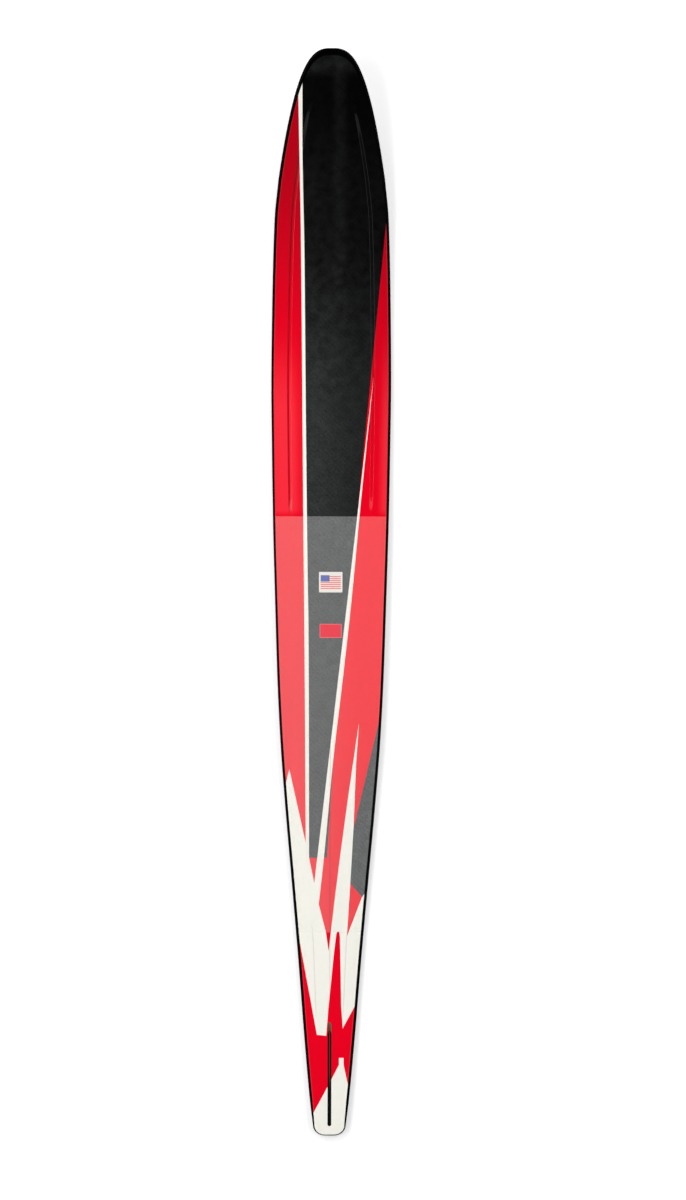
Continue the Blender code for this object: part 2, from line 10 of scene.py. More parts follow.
import bmesh
import bpy
import numpy as np
from mathutils.geometry import delaunay_2d_cdt
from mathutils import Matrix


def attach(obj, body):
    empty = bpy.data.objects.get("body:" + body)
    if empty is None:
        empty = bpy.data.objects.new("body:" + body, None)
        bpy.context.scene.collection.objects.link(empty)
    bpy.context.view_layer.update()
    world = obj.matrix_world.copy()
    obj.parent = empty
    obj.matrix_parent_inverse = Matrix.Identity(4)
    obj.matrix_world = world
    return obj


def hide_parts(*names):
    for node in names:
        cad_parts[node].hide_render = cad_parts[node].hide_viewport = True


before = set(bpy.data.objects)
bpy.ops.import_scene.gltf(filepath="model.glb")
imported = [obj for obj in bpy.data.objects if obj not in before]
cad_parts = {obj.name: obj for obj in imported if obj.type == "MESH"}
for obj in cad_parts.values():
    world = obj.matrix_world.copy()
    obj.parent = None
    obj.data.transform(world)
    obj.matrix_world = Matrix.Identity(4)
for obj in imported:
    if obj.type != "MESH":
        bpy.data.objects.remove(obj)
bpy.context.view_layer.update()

# The whole ski. A place along it is its distance from the tail, so Y is the place less MIDDLE.
LENGTH = 1.676
MIDDLE = LENGTH / 2
HALF_WIDTH = 0.09255
TIP_ROCKER = 0.078
TIP_ROCKER_POWER = 2.2
TAIL_ROCKER = 0.008
TIP_THICKNESS = 0.0085
TAIL_THICKNESS = 0.0100
SEAT_THICKNESS = 0.0129
FOOT_THICKNESS = 0.0195

# The outline's two ends: the length and power of the nose's curve, half the width of its flat, the
# cube root of the share of that length where the curve meets it, and the tail's oval corners
NOSE = 0.203
NOSE_POWER = 0.35
NOSE_FLAT = 0.005
NOSE_END = 0.0702
TAIL_CORNER = 0.014
TAIL_CORNER_WIDTH = 0.016

# The cross-section
BEVEL = 0.0035
PARTING_HEIGHT = 0.0035
RAIL_FLAT = 0.0100
TUNNEL_DEPTH = 0.0060
RIM = 0.0034
FLANGE = 0.0255
STEP_RUN = 0.0050
STEP_DROP = 0.0034
FLANGE_FALL = 0.0015
TAIL_RIDGE = 0.0012

# The most of the half width that each part of the section takes where the ski is narrow
RIM_SHARE = 0.25
CREASE_SHARE = 0.50
STEP_SHARE = 0.10
BEVEL_SHARE = 0.25
RAIL_SHARE = 0.20

# How far each edge of the moulded surfaces is rounded
STEP_SOFT = 0.0005
SPINE_SOFT = 0.0009
TUNNEL_SOFT = 0.0003

# Layers of the deck, down from its surface, and of what lies on it, up from it
SKIN = 0.0013
RECESS = 0.00040
FILM = 0.00035
PARTING_GAP = 0.0003
MAT_LAYER = (0.00008, 0.00025)
STICKER_LAYER = (0.00027, 0.00037)

# The bare rim round the films: distance from the tail and width, on the left and on the right
RIM_AT_TAIL = ((0.000, 0.0016), (0.012, 0.0022), (0.030, 0.0032), (0.060, 0.0042), (0.300, 0.0046))
RIM_AT_TIP = ((1.650, 0.0074), (1.676, 0.0112))
RIM_LEFT = (
    *RIM_AT_TAIL,
    (0.600, 0.0042),
    (0.900, 0.0037),
    (1.130, 0.0037),
    (1.290, 0.0042),
    (1.460, 0.0048),
    (1.600, 0.0054),
    *RIM_AT_TIP,
)
RIM_RIGHT = (*RIM_AT_TAIL, (0.900, 0.0042), (1.450, 0.0042), (1.600, 0.0048), *RIM_AT_TIP)

# The fin slot: its width, the places of its two ends, how far its front end slopes in under the
# deck, and the share of the length where that end lay when the colour fields were drawn
SLOT_WIDTH = 0.0058
SLOT_REAR = 0.0145
SLOT_FRONT = 0.1745
SLOT_SLOPE = 0.0145
DRAWN_SLOT_FRONT_SHARE = 0.10412

# Where the straight seat of the fin's clamp ends
SEAT_FRONT = 0.195

# Shares of the length, from the tail
FLAT_BASE = (0.240, 0.690)
FLAT_DECK = (0.388, 0.4545)
FLAT_MARGIN = 0.003
MAT_ENDS = (0.187, 0.5697)
STRIPED_STICKER_PLACE = 0.5092
PLAIN_LABEL_PLACE = 0.4644

# The mounting film's two ends as Y and its distance inside the other films' edge, and the stickers'
# widths and lengths and the radius of their corners
MAT_REAR, MAT_FRONT = (share * LENGTH - MIDDLE for share in MAT_ENDS)
MAT_INSET = 0.0002
STRIPED_STICKER_SIZE = (0.0362, 0.0316)
PLAIN_LABEL_SIZE = (0.0339, 0.0216)
STICKER_CORNER = 0.0012

# Share of the length, share of the half width
OUTLINE = (
    (0.0000, 0.2516),
    (0.0326, 0.3261),
    (0.0877, 0.4179),
    (0.1614, 0.5248),
    (0.2350, 0.6415),
    (0.3086, 0.7592),
    (0.3638, 0.8348),
    (0.4190, 0.8855),
    (0.4926, 0.9287),
    (0.5662, 0.9665),
    (0.6398, 0.9892),
    (0.6920, 1.0000),
    (0.7685, 0.9870),
    (0.8422, 0.9525),
    (0.8790, 0.8909),
)

# Share of the length, thickness ahead of the fin seat
THICKNESS = (
    (SEAT_FRONT / LENGTH, SEAT_THICKNESS),
    (0.239, 0.872 * FOOT_THICKNESS),
    (FLAT_DECK[0], FOOT_THICKNESS),
    (FLAT_DECK[1], FOOT_THICKNESS),
    (0.626, 0.954 * FOOT_THICKNESS),
    (0.776, 0.795 * FOOT_THICKNESS),
    (0.907, 0.590 * FOOT_THICKNESS),
    (1.000, TIP_THICKNESS),
)

# Share of the length, share of the full depth, drop, fall or height
TUNNEL_ALONG = ((0.0, 0.12), (0.15, 0.70), (0.42, 1.0), (0.70, 0.92), (0.90, 0.50), (0.985, 0.0))
STEP_ALONG = ((0.567, 0.0), (0.600, 0.82), (0.800, 1.0), (0.920, 0.55), (0.955, 0.0))
FALL_ALONG = (
    (0.0, 0.2),
    (0.12, 0.4),
    (0.20, 1.0),
    (0.33, 1.0),
    (FLAT_DECK[0] - FLAT_MARGIN, 0.0),
    (FLAT_DECK[1] + FLAT_MARGIN, 0.0),
    (0.65, 0.8),
    (0.90, 0.8),
    (1.0, 0.2),
)
RIDGE_ALONG = ((0.117, 0.0), (0.180, 1.0), (0.320, 1.0), (FLAT_DECK[0] - FLAT_MARGIN, 0.0))

# Corners of the colour fields: share of the length from the tail, and share of the half width,
# positive on the right. A corner named out lies beyond the films' edge.
CORNERS = {
    "nose_left_out": (0.980, -0.491),
    "pin_right_fore": (0.925, -0.491),
    "pin_right_chest": (0.814, -0.453),
    "pin_right_waist": (0.667, -0.422),
    "pin_right_mid": (0.529, -0.388),
    "pin_right_aft": (0.456, -0.366),
    "pin_right_foot": (0.2556, -0.349),
    "pin_left_out": (0.966, -0.5645),
    "pin_left_fore": (0.916, -0.5445),
    "pin_left_chest": (0.833, -0.513),
    "pin_left_waist": (0.676, -0.480),
    "pin_left_mid": (0.566, -0.459),
    "pin_left_aft": (0.456, -0.4355),
    "pin_left_foot": (0.269, -0.405),
    "left_flash_apex": (0.3369, -0.682),
    "left_flash_out": (0.3167, -0.768),
    "left_side_out": (0.600, -1.200),
    "left_fore_out": (0.935, -1.000),
    "tail_left_out": (0.200, -0.700),
    "tail_left_top": (0.1885, -0.535),
    "tail_left_notch": (0.0926, -0.210),
    "tail_slot_notch": (0.0919, -0.055),
    "tail_slot_centre": (0.0919, 0.000),
    "dark_right_out": (0.870, 1.010),
    "dark_right_top": (0.840, 0.909),
    "dark_meets_stripe": (0.5725, 0.445),
    "stripe_top": (0.700, 0.709),
    "stripe_left_foot": (0.232, -0.262),
    "stripe_cut_left": (0.2556, -0.214),
    "stripe_cut_right": (0.2556, -0.102),
    "stripe_right_fore": (0.575, 0.485),
    "stripe_right_mid": (0.492, 0.346),
    "stripe_right_aft": (0.419, 0.203),
    "sliver_top": (0.348, 0.054),
    "sliver_foot": (0.2556, -0.050),
    "stripe_right_foot": (0.2127, -0.186),
    "centre_knee": (0.187, -0.065),
    "centre_apex": (0.1695, -0.020),
    "mid_flash_apex": (0.3802, 0.478),
    "mid_flash_left_aft": (0.309, 0.294),
    "mid_flash_left_low": (0.235, 0.119),
    "mid_flash_right_top": (0.3434, 0.432),
    "grey_neck": (0.2826, 0.390),
    "wedge_top": (0.2320, 0.339),
    "wedge_right": (0.2195, 0.535),
    "wedge_foot": (0.1833, 0.285),
    "grey_top": (0.3903, 0.848),
    "grey_out": (0.430, 1.050),
    "right_flash_apex": (0.2260, 0.620),
    "right_flash_out": (0.2420, 0.760),
    "right_side_out": (0.600, 1.200),
    "spike_left": (0.1842, 0.106),
    "spike_tip_left": (0.1875, 0.119),
    "spike_tip_right": (0.1878, 0.157),
    "spike_right": (0.1833, 0.168),
    "spike_cut": (0.1695, 0.072),
    "spike_left_low": (0.1152, -0.024),
    "spike_right_mid": (0.160, 0.178),
    "spike_right_low": (0.120, 0.192),
    "tail_right_notch": (0.0986, 0.219),
    "tail_right_rim": (0.1212, 0.438),
    "tail_right_out": (0.1450, 0.640),
    "tip_tab_right": (0.0650, 0.235),
    "tip_tab_right_top": (0.0715, 0.235),
    "tip_tab_left_top": (0.0715, 0.158),
    "tip_tab_left": (0.0652, 0.158),
    "tip_slot_centre": (0.0480, 0.000),
    "tip_left_rim": (0.0213, -0.260),
    "tip_left_out": (0.0100, -0.420),
    "tip_right_rim": (0.0438, 0.320),
    "tip_right_out": (0.0300, 0.430),
    "beyond_nose_right": (1.010, 1.010),
    "beyond_nose_left": (1.010, -0.491),
    "beyond_tail_right": (-0.010, 0.430),
    "beyond_tail_left": (-0.010, -0.420),
}

PIN_RIGHT = (
    "pin_right_fore",
    "pin_right_chest",
    "pin_right_waist",
    "pin_right_mid",
    "pin_right_aft",
    "pin_right_foot",
)
PIN_LEFT = (
    "pin_left_fore",
    "pin_left_chest",
    "pin_left_waist",
    "pin_left_mid",
    "pin_left_aft",
    "pin_left_foot",
)
STRIPE_RIGHT = ("stripe_right_fore", "stripe_right_mid", "stripe_right_aft", "sliver_top")
MID_FLASH_LEFT = ("mid_flash_apex", "mid_flash_left_aft", "mid_flash_left_low", "centre_apex")
MID_FLASH_RIGHT = ("mid_flash_right_top", "grey_neck")

# Runs of corners that the real edges pass through as one smooth curve
SMOOTH_EDGES = (
    ("nose_left_out",) + PIN_RIGHT,
    ("pin_left_out",) + PIN_LEFT,
    ("stripe_top",) + STRIPE_RIGHT + ("stripe_cut_right", "stripe_right_foot"),
    MID_FLASH_LEFT,
)

# Each colour field's corners in order
FIELDS = {
    "white_pinstripe": ("pin_left_out", "nose_left_out") + PIN_RIGHT + PIN_LEFT[::-1],
    "red_panel_left": ("left_side_out", "left_fore_out", "pin_left_out")
    + PIN_LEFT
    + ("left_flash_apex", "left_flash_out"),
    "dark_panel_centre": PIN_RIGHT
    + ("stripe_cut_left", "dark_meets_stripe", "dark_right_top", "dark_right_out")
    + ("beyond_nose_right", "beyond_nose_left", "nose_left_out"),
    "white_long_stripe": ("stripe_top",)
    + STRIPE_RIGHT
    + ("stripe_cut_right", "stripe_right_foot", "stripe_left_foot"),
    "dark_sliver": ("sliver_top", "sliver_foot", "stripe_cut_right"),
    "red_panel_right": ("dark_right_out", "dark_right_top", "dark_meets_stripe", "stripe_top")
    + STRIPE_RIGHT
    + ("sliver_foot", "stripe_cut_right", "stripe_right_foot", "centre_knee")
    + MID_FLASH_LEFT[::-1]
    + MID_FLASH_RIGHT
    + ("grey_top", "grey_out", "right_side_out"),
    "dark_panel_right": ("grey_out", "grey_top", "grey_neck", "wedge_top", "wedge_right")
    + ("right_flash_apex", "right_flash_out"),
    "red_triangle": ("pin_right_foot", "stripe_cut_left", "stripe_left_foot"),
    "red_wedge": ("wedge_top", "wedge_right", "wedge_foot"),
    "white_flash_left": ("left_flash_apex", "pin_left_foot", "pin_right_foot")
    + ("stripe_left_foot", "stripe_right_foot", "centre_knee", "centre_apex", "spike_cut")
    + ("spike_left_low", "tail_slot_notch", "tail_left_notch", "tail_left_top")
    + ("tail_left_out", "left_flash_out"),
    "white_flash_middle": MID_FLASH_LEFT
    + ("spike_cut", "spike_left", "spike_tip_left", "spike_tip_right", "spike_right")
    + ("wedge_foot", "wedge_top", "grey_neck", "mid_flash_right_top"),
    "white_flash_right": ("right_flash_out", "right_flash_apex", "wedge_right", "wedge_foot")
    + ("spike_right", "spike_right_mid", "spike_right_low", "tail_right_notch")
    + ("tail_right_rim", "tail_right_out"),
    "red_tail_left": ("tail_left_out", "tail_left_top", "tail_left_notch", "tail_slot_notch")
    + ("tail_slot_centre", "tip_slot_centre", "tip_left_rim", "tip_left_out"),
    "red_tail_right": ("spike_tip_left", "spike_tip_right", "spike_right", "spike_right_mid")
    + ("spike_right_low", "tail_right_notch", "tail_right_rim", "tail_right_out")
    + ("tip_right_out", "tip_right_rim", "tip_tab_right", "tip_tab_right_top")
    + ("tip_tab_left_top", "tip_tab_left", "tip_slot_centre", "tail_slot_centre")
    + ("tail_slot_notch", "spike_left_low", "spike_cut", "spike_left"),
    "white_tail_tip": ("tip_left_out", "tip_left_rim", "tip_slot_centre", "tip_tab_left")
    + ("tip_tab_left_top", "tip_tab_right_top", "tip_tab_right", "tip_right_rim")
    + ("tip_right_out", "beyond_tail_right", "beyond_tail_left"),
}

# The outline: how many points it has, how many its corner, side and nose are worked out at, and
# the run that a turn of one radian counts as when its points are spread
LOOP_POINTS = 1400
CORNER_POINTS, SIDE_POINTS, NOSE_POINTS = 60, 1500, 600
BEND_WEIGHT = 0.030

# Points along each round end and straight side of the slot, a colour field's edges, a sticker's
# corner and each end of the mounting film
SLOT_END_POINTS, SLOT_SIDE_POINTS = 17, 40
EDGE_STEP = 0.0040
STICKER_CORNER_POINTS = 6
MAT_END_POINTS = 48

# Rows across the ski: the step between them, then where their points lie. The deck has shares of
# the way to its shoulder, places round its two bends in units of their softness, and shares of its
# flange. The base has shares of the way to its tunnel's edge and to its bevel.
ROW_STEP = 0.0045
SHOULDER_SHARES = (0.06, 0.3, 0.55, 0.8)
BEND_PLACES = (-2.2, -1.2, -0.5, 0.0, 0.5, 1.2, 2.2)
FLANGE_SHARES = (0.3, 0.5, 0.7, 0.9)
TUNNEL_SHARES = (0.2, 0.4, 0.6, 0.75, 0.88, 0.96, 1.0, 1.03)
BEVEL_SHARES = (0.97,)

# How far these points keep clear of the surface's edge, and of the slot in the base
CLEAR_OF_EDGE = 0.0006
CLEAR_OF_SLOT = 0.001

# The shells' rolled edges: rows and power of the rim's roll, rows of the flat beside it, rows and
# power of the bevel, and which of the outer rows the inner side repeats
ROLL_ROWS = 14
ROLL_POWER = 2.7
FLAT_ROWS = 4
BEVEL_ROWS = 7
BEVEL_POWER = 0.8
INNER_ROLL_EVERY = 3
INNER_BEVEL_EVERY = 2
NOSE_BEVEL_FROM = 0.004

# Exactness of the fill, the joins and the normals, and the angle that stays sharp
PLAN_STRETCH = 3.0
FILL_TOLERANCE = 1e-6
JOIN_WITHIN = 0.000002
NORMAL_STEP = 0.0002
LEAST_NORMAL = 1e-15
SHARP_ANGLE = 38.0

# The name under which each film carries its marks of the deck
MARKS = "deck_marks"


def smooth_through(knots):
    """A curve through the knots: on each span the cubic with the harmonic mean of its two
    neighbouring slopes at each inner knot, or level there where the slope changes sign."""
    at, high = np.array(knots).T
    runs = np.diff(at)
    rises = np.diff(high) / runs
    before, after = rises[:-1], rises[1:]
    same_way = before * after > 0
    total = np.where(same_way, before + after, 1.0)
    meets = np.where(same_way, 2 * before * after / total, 0.0)
    slopes = np.concatenate((rises[:1], meets, rises[-1:]))

    def value(place):
        """The curve's height at each place, and beyond its ends the height of the nearer end."""
        place = np.clip(place, at[0], at[-1])
        i = np.clip(np.searchsorted(at, place) - 1, 0, len(runs) - 1)
        t = (place - at[i]) / runs[i]
        climb = (high[i + 1] - high[i]) * t * t * (3 - 2 * t)
        return high[i] + climb + runs[i] * t * (1 - t) * ((1 - t) * slopes[i] - t * slopes[i + 1])

    return value


outline_share = smooth_through(OUTLINE)
tunnel_share = smooth_through(TUNNEL_ALONG)
step_share = smooth_through(STEP_ALONG)
fall_share = smooth_through(FALL_ALONG)
ridge_share = smooth_through(RIDGE_ALONG)
thickness_ahead = smooth_through(THICKNESS)
rim_on_left = smooth_through(RIM_LEFT)
rim_on_right = smooth_through(RIM_RIGHT)


def soft_rise(distance, softness):
    """Nothing below zero and the distance above it, joined by a hyperbola of the softness."""
    return (distance + np.sqrt(distance**2 + softness**2)) / 2


def half_width(place):
    """Half the width at distances from the tail: the side's curve, ahead of it a power curve to the
    blunt nose, and at the tail a quarter of an oval off each corner."""
    from_tip = np.maximum(LENGTH - place, 0.0)
    nose = HALF_WIDTH * OUTLINE[-1][1] * (from_tip / NOSE) ** NOSE_POWER
    side = HALF_WIDTH * outline_share(place / (LENGTH - NOSE) * OUTLINE[-1][0])
    width = np.where(from_tip < NOSE, nose, side)
    into_corner = np.clip(1 - place / TAIL_CORNER, 0.0, 1.0)
    width = width - TAIL_CORNER_WIDTH * (1 - np.sqrt(1 - into_corner**2))
    return np.maximum(width, NOSE_FLAT)


def rail_height(place):
    """Height of the base's flat rails: zero in the middle, a square curve up to the tail and a
    power curve up to the tip."""
    rear, front = (share * LENGTH for share in FLAT_BASE)
    behind = np.maximum(rear - place, 0.0) / rear
    ahead = np.maximum(place - front, 0.0) / (LENGTH - front)
    return TAIL_ROCKER * behind**2 + TIP_ROCKER * ahead**TIP_ROCKER_POWER


def deck_height(place):
    """Height of the deck's middle: a straight line over the fin seat, then rails plus thickness."""
    rear = TAIL_ROCKER + TAIL_THICKNESS
    front = rail_height(SEAT_FRONT) + SEAT_THICKNESS
    seat = rear + (front - rear) * place / SEAT_FRONT
    return np.where(place < SEAT_FRONT, seat, rail_height(place) + thickness_ahead(place / LENGTH))


def deck_section(place):
    """Distances from the centre line to the deck's shoulder, its crease and its rim."""
    half = half_width(place)
    crease = np.maximum(half - FLANGE, half * CREASE_SHARE)
    shoulder = crease - np.minimum(STEP_RUN, half * STEP_SHARE)
    rim = half - np.minimum(RIM, half * RIM_SHARE)
    return shoulder, crease, rim


def base_section(place):
    """Distances from the centre line to the edge of the base's tunnel and to its bevel."""
    half = half_width(place)
    bevel = half - np.minimum(BEVEL, half * BEVEL_SHARE)
    return bevel - np.minimum(RAIL_FLAT, half * RAIL_SHARE), bevel


def deck_z(x, y):
    """Height of the deck: level or ridged to the shoulder, down a step to the crease, and falling
    gently to the rim. Each change of slope is a soft rise, so no edge is sharp."""
    place = y + MIDDLE
    share = place / LENGTH
    shoulder, crease, rim = deck_section(place)
    ridge = TAIL_RIDGE * ridge_share(share)
    on_ridge = -ridge / shoulder
    on_step = -STEP_DROP * step_share(share) / (crease - shoulder)
    on_flange = -FLANGE_FALL * fall_share(share) / (rim - crease)
    out = np.hypot(x, SPINE_SOFT)
    return (
        deck_height(place) + ridge + on_ridge * out
        + (on_step - on_ridge) * soft_rise(out - shoulder, STEP_SOFT)
        + (on_flange - on_step) * soft_rise(out - crease, STEP_SOFT)
    )


def base_z(x, y):
    """Height of the base: flat rails, with a parabolic tunnel let up between them."""
    place = y + MIDDLE
    tunnel, _ = base_section(place)
    arch = TUNNEL_DEPTH * tunnel_share(place / LENGTH) * (1 - (x / tunnel) ** 2)
    return rail_height(place) + soft_rise(arch, TUNNEL_SOFT)


def deck_normals(x, y):
    """Unit normals of the deck, from the differences of deck_z over a short step."""
    step = NORMAL_STEP
    across = (deck_z(x + step, y) - deck_z(x - step, y)) / (2 * step)
    along = (deck_z(x, y + step) - deck_z(x, y - step)) / (2 * step)
    normals = np.stack((-across, -along, np.ones_like(across)), axis=-1)
    return normals / np.linalg.norm(normals, axis=-1, keepdims=True)


def bare_rim(x, place):
    """Width of the bare rim beside the films, by the side on which X lies."""
    return np.where(x < 0, rim_on_left(place), rim_on_right(place))


def deck_marks(x, y):
    """For the finishes: how far a plan point lies outside the crease and inside the films' edge, in
    metres, and the step's share of its full depth there."""
    place = y + MIDDLE
    _, crease, _ = deck_section(place)
    inside_edge = half_width(place) - np.abs(x) - bare_rim(x, place)
    return np.column_stack((np.abs(x) - crease, inside_edge, step_share(place / LENGTH)))


def outline_loop():
    """The ski's outline in plan, counter-clockwise from the middle of the tail. Its points are
    spread evenly along the length of the curve plus a weight times the angle that it turns. The
    nose's curve ends where it meets the flat, at NOSE_END cubed of the nose's length."""
    corner = TAIL_CORNER * (1 - np.cos(np.linspace(0, np.pi / 2, CORNER_POINTS)))
    side = np.linspace(TAIL_CORNER, LENGTH - NOSE, SIDE_POINTS)[1:]
    nose = LENGTH - NOSE * np.linspace(1, NOSE_END, NOSE_POINTS)[1:] ** 3
    place = np.concatenate((corner, side, nose))
    right = np.column_stack((half_width(place), place - MIDDLE))
    right = np.concatenate(([[0.0, right[0, 1]]], right, [[0.0, right[-1, 1]]]))
    run = np.diff(right, axis=0)
    turn = np.abs(np.diff(np.unwrap(np.arctan2(run[:, 1], run[:, 0]))))
    spread = np.hypot(*run.T) + BEND_WEIGHT * (np.append(turn, 0) + np.insert(turn, 0, 0)) / 2
    along = np.concatenate(([0.0], np.cumsum(spread)))
    even = np.linspace(0, along[-1], LOOP_POINTS // 2 + 1)
    half = np.column_stack([np.interp(even, along, axis) for axis in right.T])
    return np.concatenate((half, half[-2:0:-1] * (-1, 1)))


def drawn_in(loop, distance):
    """A counter-clockwise loop with each point moved inwards, square to the loop."""
    along = np.roll(loop, -1, axis=0) - np.roll(loop, 1, axis=0)
    along /= np.linalg.norm(along, axis=1, keepdims=True)
    inwards = np.column_stack((-along[:, 1], along[:, 0]))
    return loop + inwards * np.reshape(distance, (-1, 1))


def arc(turn, radius):
    """Points of a circle round the origin, one at each angle of the turn."""
    return np.column_stack((np.cos(turn), np.sin(turn))) * radius


def slot_loop(front):
    """The fin slot in plan: two straight sides and two half circles, clockwise as a hole is."""
    radius = SLOT_WIDTH / 2
    half_circle = arc(np.linspace(0, np.pi, SLOT_END_POINTS), radius)
    fore_end = half_circle + (0, front - radius)
    rear_end = -half_circle + (0, SLOT_REAR + radius)
    sides = np.linspace(front - radius, SLOT_REAR + radius, SLOT_SIDE_POINTS)[1:-1]
    left = np.column_stack((np.full_like(sides, -radius), sides))
    loop = np.concatenate((fore_end, left, rear_end, left[::-1] * (-1, 1)))
    return loop[::-1] - (0, MIDDLE)


outline = outline_loop()
place_round = outline[:, 1] + MIDDLE
rim_width = bare_rim(outline[:, 0], place_round)
film_edge = drawn_in(outline, rim_width)
slot = slot_loop(SLOT_FRONT)
base_slot = slot_loop(SLOT_FRONT - SLOT_SLOPE)


def rows_across(place, right):
    """Plan points of rows across the ski: the distances on the right of the centre line, the line
    itself, and the same distances on its left."""
    x = np.concatenate((-right[:, ::-1], np.zeros_like(place), right), axis=1)
    y = np.broadcast_to(place - MIDDLE, x.shape)
    return np.column_stack((x.ravel(), y.ravel()))


def deck_points():
    """Plan points over the whole deck in rows across it, close together at its shoulders, creases
    and spine, where the height bends most."""
    place = np.arange(ROW_STEP / 2, LENGTH, ROW_STEP)[:, None]
    shoulder, crease, rim = deck_section(place)
    near = STEP_SOFT * np.array(BEND_PLACES)
    reach = np.minimum(1.0, (crease - shoulder) / ((BEND_PLACES[-1] - BEND_PLACES[0]) * STEP_SOFT))
    right = (
        shoulder * SHOULDER_SHARES,
        shoulder + near * reach,
        crease + near * reach,
        crease + (rim - crease) * FLANGE_SHARES,
    )
    return rows_across(place, np.concatenate(right, axis=1))


def base_points():
    """Plan points over the whole base in rows across it, closer at the tunnel's two edges."""
    place = np.arange(ROW_STEP, LENGTH, 2 * ROW_STEP)[:, None]
    tunnel, bevel = base_section(place)
    right = np.concatenate((tunnel * TUNNEL_SHARES, bevel * BEVEL_SHARES), axis=1)
    return rows_across(place, right)


def inside(points, loop):
    """Which plan points lie inside a loop: a ray to the right crosses it an odd number of times."""
    x, y = points[:, 0, None], points[:, 1, None]
    x0, y0 = loop.T
    x1, y1 = np.roll(loop, -1, axis=0).T
    spans = (y0 > y) != (y1 > y)
    rise = np.where(y1 == y0, 1.0, y1 - y0)
    crossing = x0 + (y - y0) * (x1 - x0) / rise
    return np.count_nonzero(spans & (crossing > x), axis=1) % 2 == 1


def within(points, loop):
    """The same for a loop that has one width at each place along the ski, found between its two
    sides, which meet at its foremost point."""
    top = np.argmax(loop[:, 1])
    right, left = loop[: top + 1], loop[top:]
    return (
        (points[:, 0] < np.interp(points[:, 1], right[:, 1], right[:, 0], left=0, right=0))
        & (points[:, 0] > np.interp(points[:, 1], left[::-1, 1], left[::-1, 0], left=0, right=0))
        & (points[:, 1] > loop[:, 1].min())
        & (points[:, 1] < loop[:, 1].max())
    )


def joined(loop, first):
    """Pairs of indices round a loop whose points start at the first index."""
    here = np.arange(len(loop))
    return np.column_stack((here, np.roll(here, -1))) + first


def fill(loops, points, keep):
    """Triangles over the plan, with every loop as an edge and the points between, where keep says
    that a triangle's centre belongs. Returns the plan points used and the triangles, facing up."""
    everything = np.concatenate(loops + [points])
    firsts = np.cumsum([0] + [len(loop) for loop in loops])
    edges = np.concatenate([joined(loop, first) for loop, first in zip(loops, firsts)])
    scaled = everything / (1, PLAN_STRETCH)
    found = delaunay_2d_cdt(scaled.tolist(), edges.tolist(), [], 0, FILL_TOLERANCE)
    plan = np.array(found[0]) * (1, PLAN_STRETCH)
    triangles = np.array(found[2])
    triangles = triangles[keep(plan[triangles].mean(axis=1))]
    used, triangles = np.unique(triangles, return_inverse=True)
    triangles = triangles.reshape(-1, 3)
    plan = plan[used]
    a, b, c = (plan[triangles[:, i]] for i in range(3))
    area = (b - a)[:, 0] * (c - a)[:, 1] - (b - a)[:, 1] * (c - a)[:, 0]
    triangles[area < 0] = triangles[area < 0][:, ::-1]
    return plan, triangles


def border_edges(triangles, count):
    """Directed edges that only one triangle has."""
    edges = np.concatenate([triangles[:, pair] for pair in ((0, 1), (1, 2), (2, 0))])
    forth = edges[:, 0] * count + edges[:, 1]
    back = edges[:, 1] * count + edges[:, 0]
    return edges[~np.isin(forth, back)]


def quads(a, b, c, d):
    """Two triangles for each four corners that follow one another round."""
    return np.concatenate((np.column_stack((a, b, c)), np.column_stack((a, c, d))))


def with_height(plan, height):
    """Points over the plan, each at its height."""
    return np.column_stack((plan, height))


def new_mesh(name, points, triangles):
    """A smooth-shaded mesh from an array of points and one of triangles."""
    mesh = bpy.data.meshes.new(name)
    mesh.vertices.add(len(points))
    mesh.vertices.foreach_set("co", points.astype(np.float32).ravel())
    mesh.loops.add(3 * len(triangles))
    mesh.loops.foreach_set("vertex_index", triangles.astype(np.int32).ravel())
    mesh.polygons.add(len(triangles))
    mesh.polygons.foreach_set("loop_start", np.arange(0, 3 * len(triangles), 3, dtype=np.int32))
    mesh.update(calc_edges=True)
    mesh.shade_smooth()
    return mesh


def add_piece(name, mesh, node, slot_name, material):
    """Puts a finished mesh into the scene as the piece that stands for a solid of the frame."""
    mesh.materials.append(material)
    piece = bpy.data.objects.new(name, mesh)
    bpy.context.scene.collection.objects.link(piece)
    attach(piece, "root")
    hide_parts(node)


def slab(name, plan, triangles, low, high):
    """A closed layer between two distances from the deck over the same plan triangles, with a wall
    round every border. Its top takes the deck's own normals, so the films read as one surface."""
    count = len(plan)
    height = deck_z(*plan.T)
    points = np.concatenate((with_height(plan, height + high), with_height(plan, height + low)))
    a, b = border_edges(triangles, count).T
    walls = quads(a, a + count, b + count, b)
    faces = np.concatenate((triangles, triangles[:, ::-1] + count, walls))
    corner = points[faces]
    flat = np.cross(corner[:, 1] - corner[:, 0], corner[:, 2] - corner[:, 0])
    flat /= np.maximum(np.linalg.norm(flat, axis=1, keepdims=True), LEAST_NORMAL)
    normals = np.repeat(flat, 3, axis=0)
    normals[: 3 * len(triangles)] = deck_normals(*plan.T)[triangles.ravel()]
    mesh = new_mesh(name, points, faces)
    mesh.normals_split_custom_set(normals.tolist())
    marks = np.tile(deck_marks(*plan.T), (2, 1)).astype(np.float32)
    mesh.attributes.new(MARKS, "FLOAT_VECTOR", "POINT").data.foreach_set("vector", marks.ravel())
    return mesh


def rolled_strip(rows):
    """The points and triangles of a closed band, from its rows of points: two triangles for each
    four neighbours."""
    height, width = rows.shape[:2]
    first = np.arange(height - 1)[:, None] * width
    a = (first + np.arange(width)).ravel()
    b = (first + np.roll(np.arange(width), -1)).ravel()
    return rows.reshape(-1, 3), quads(a, b, b + width, a + width)


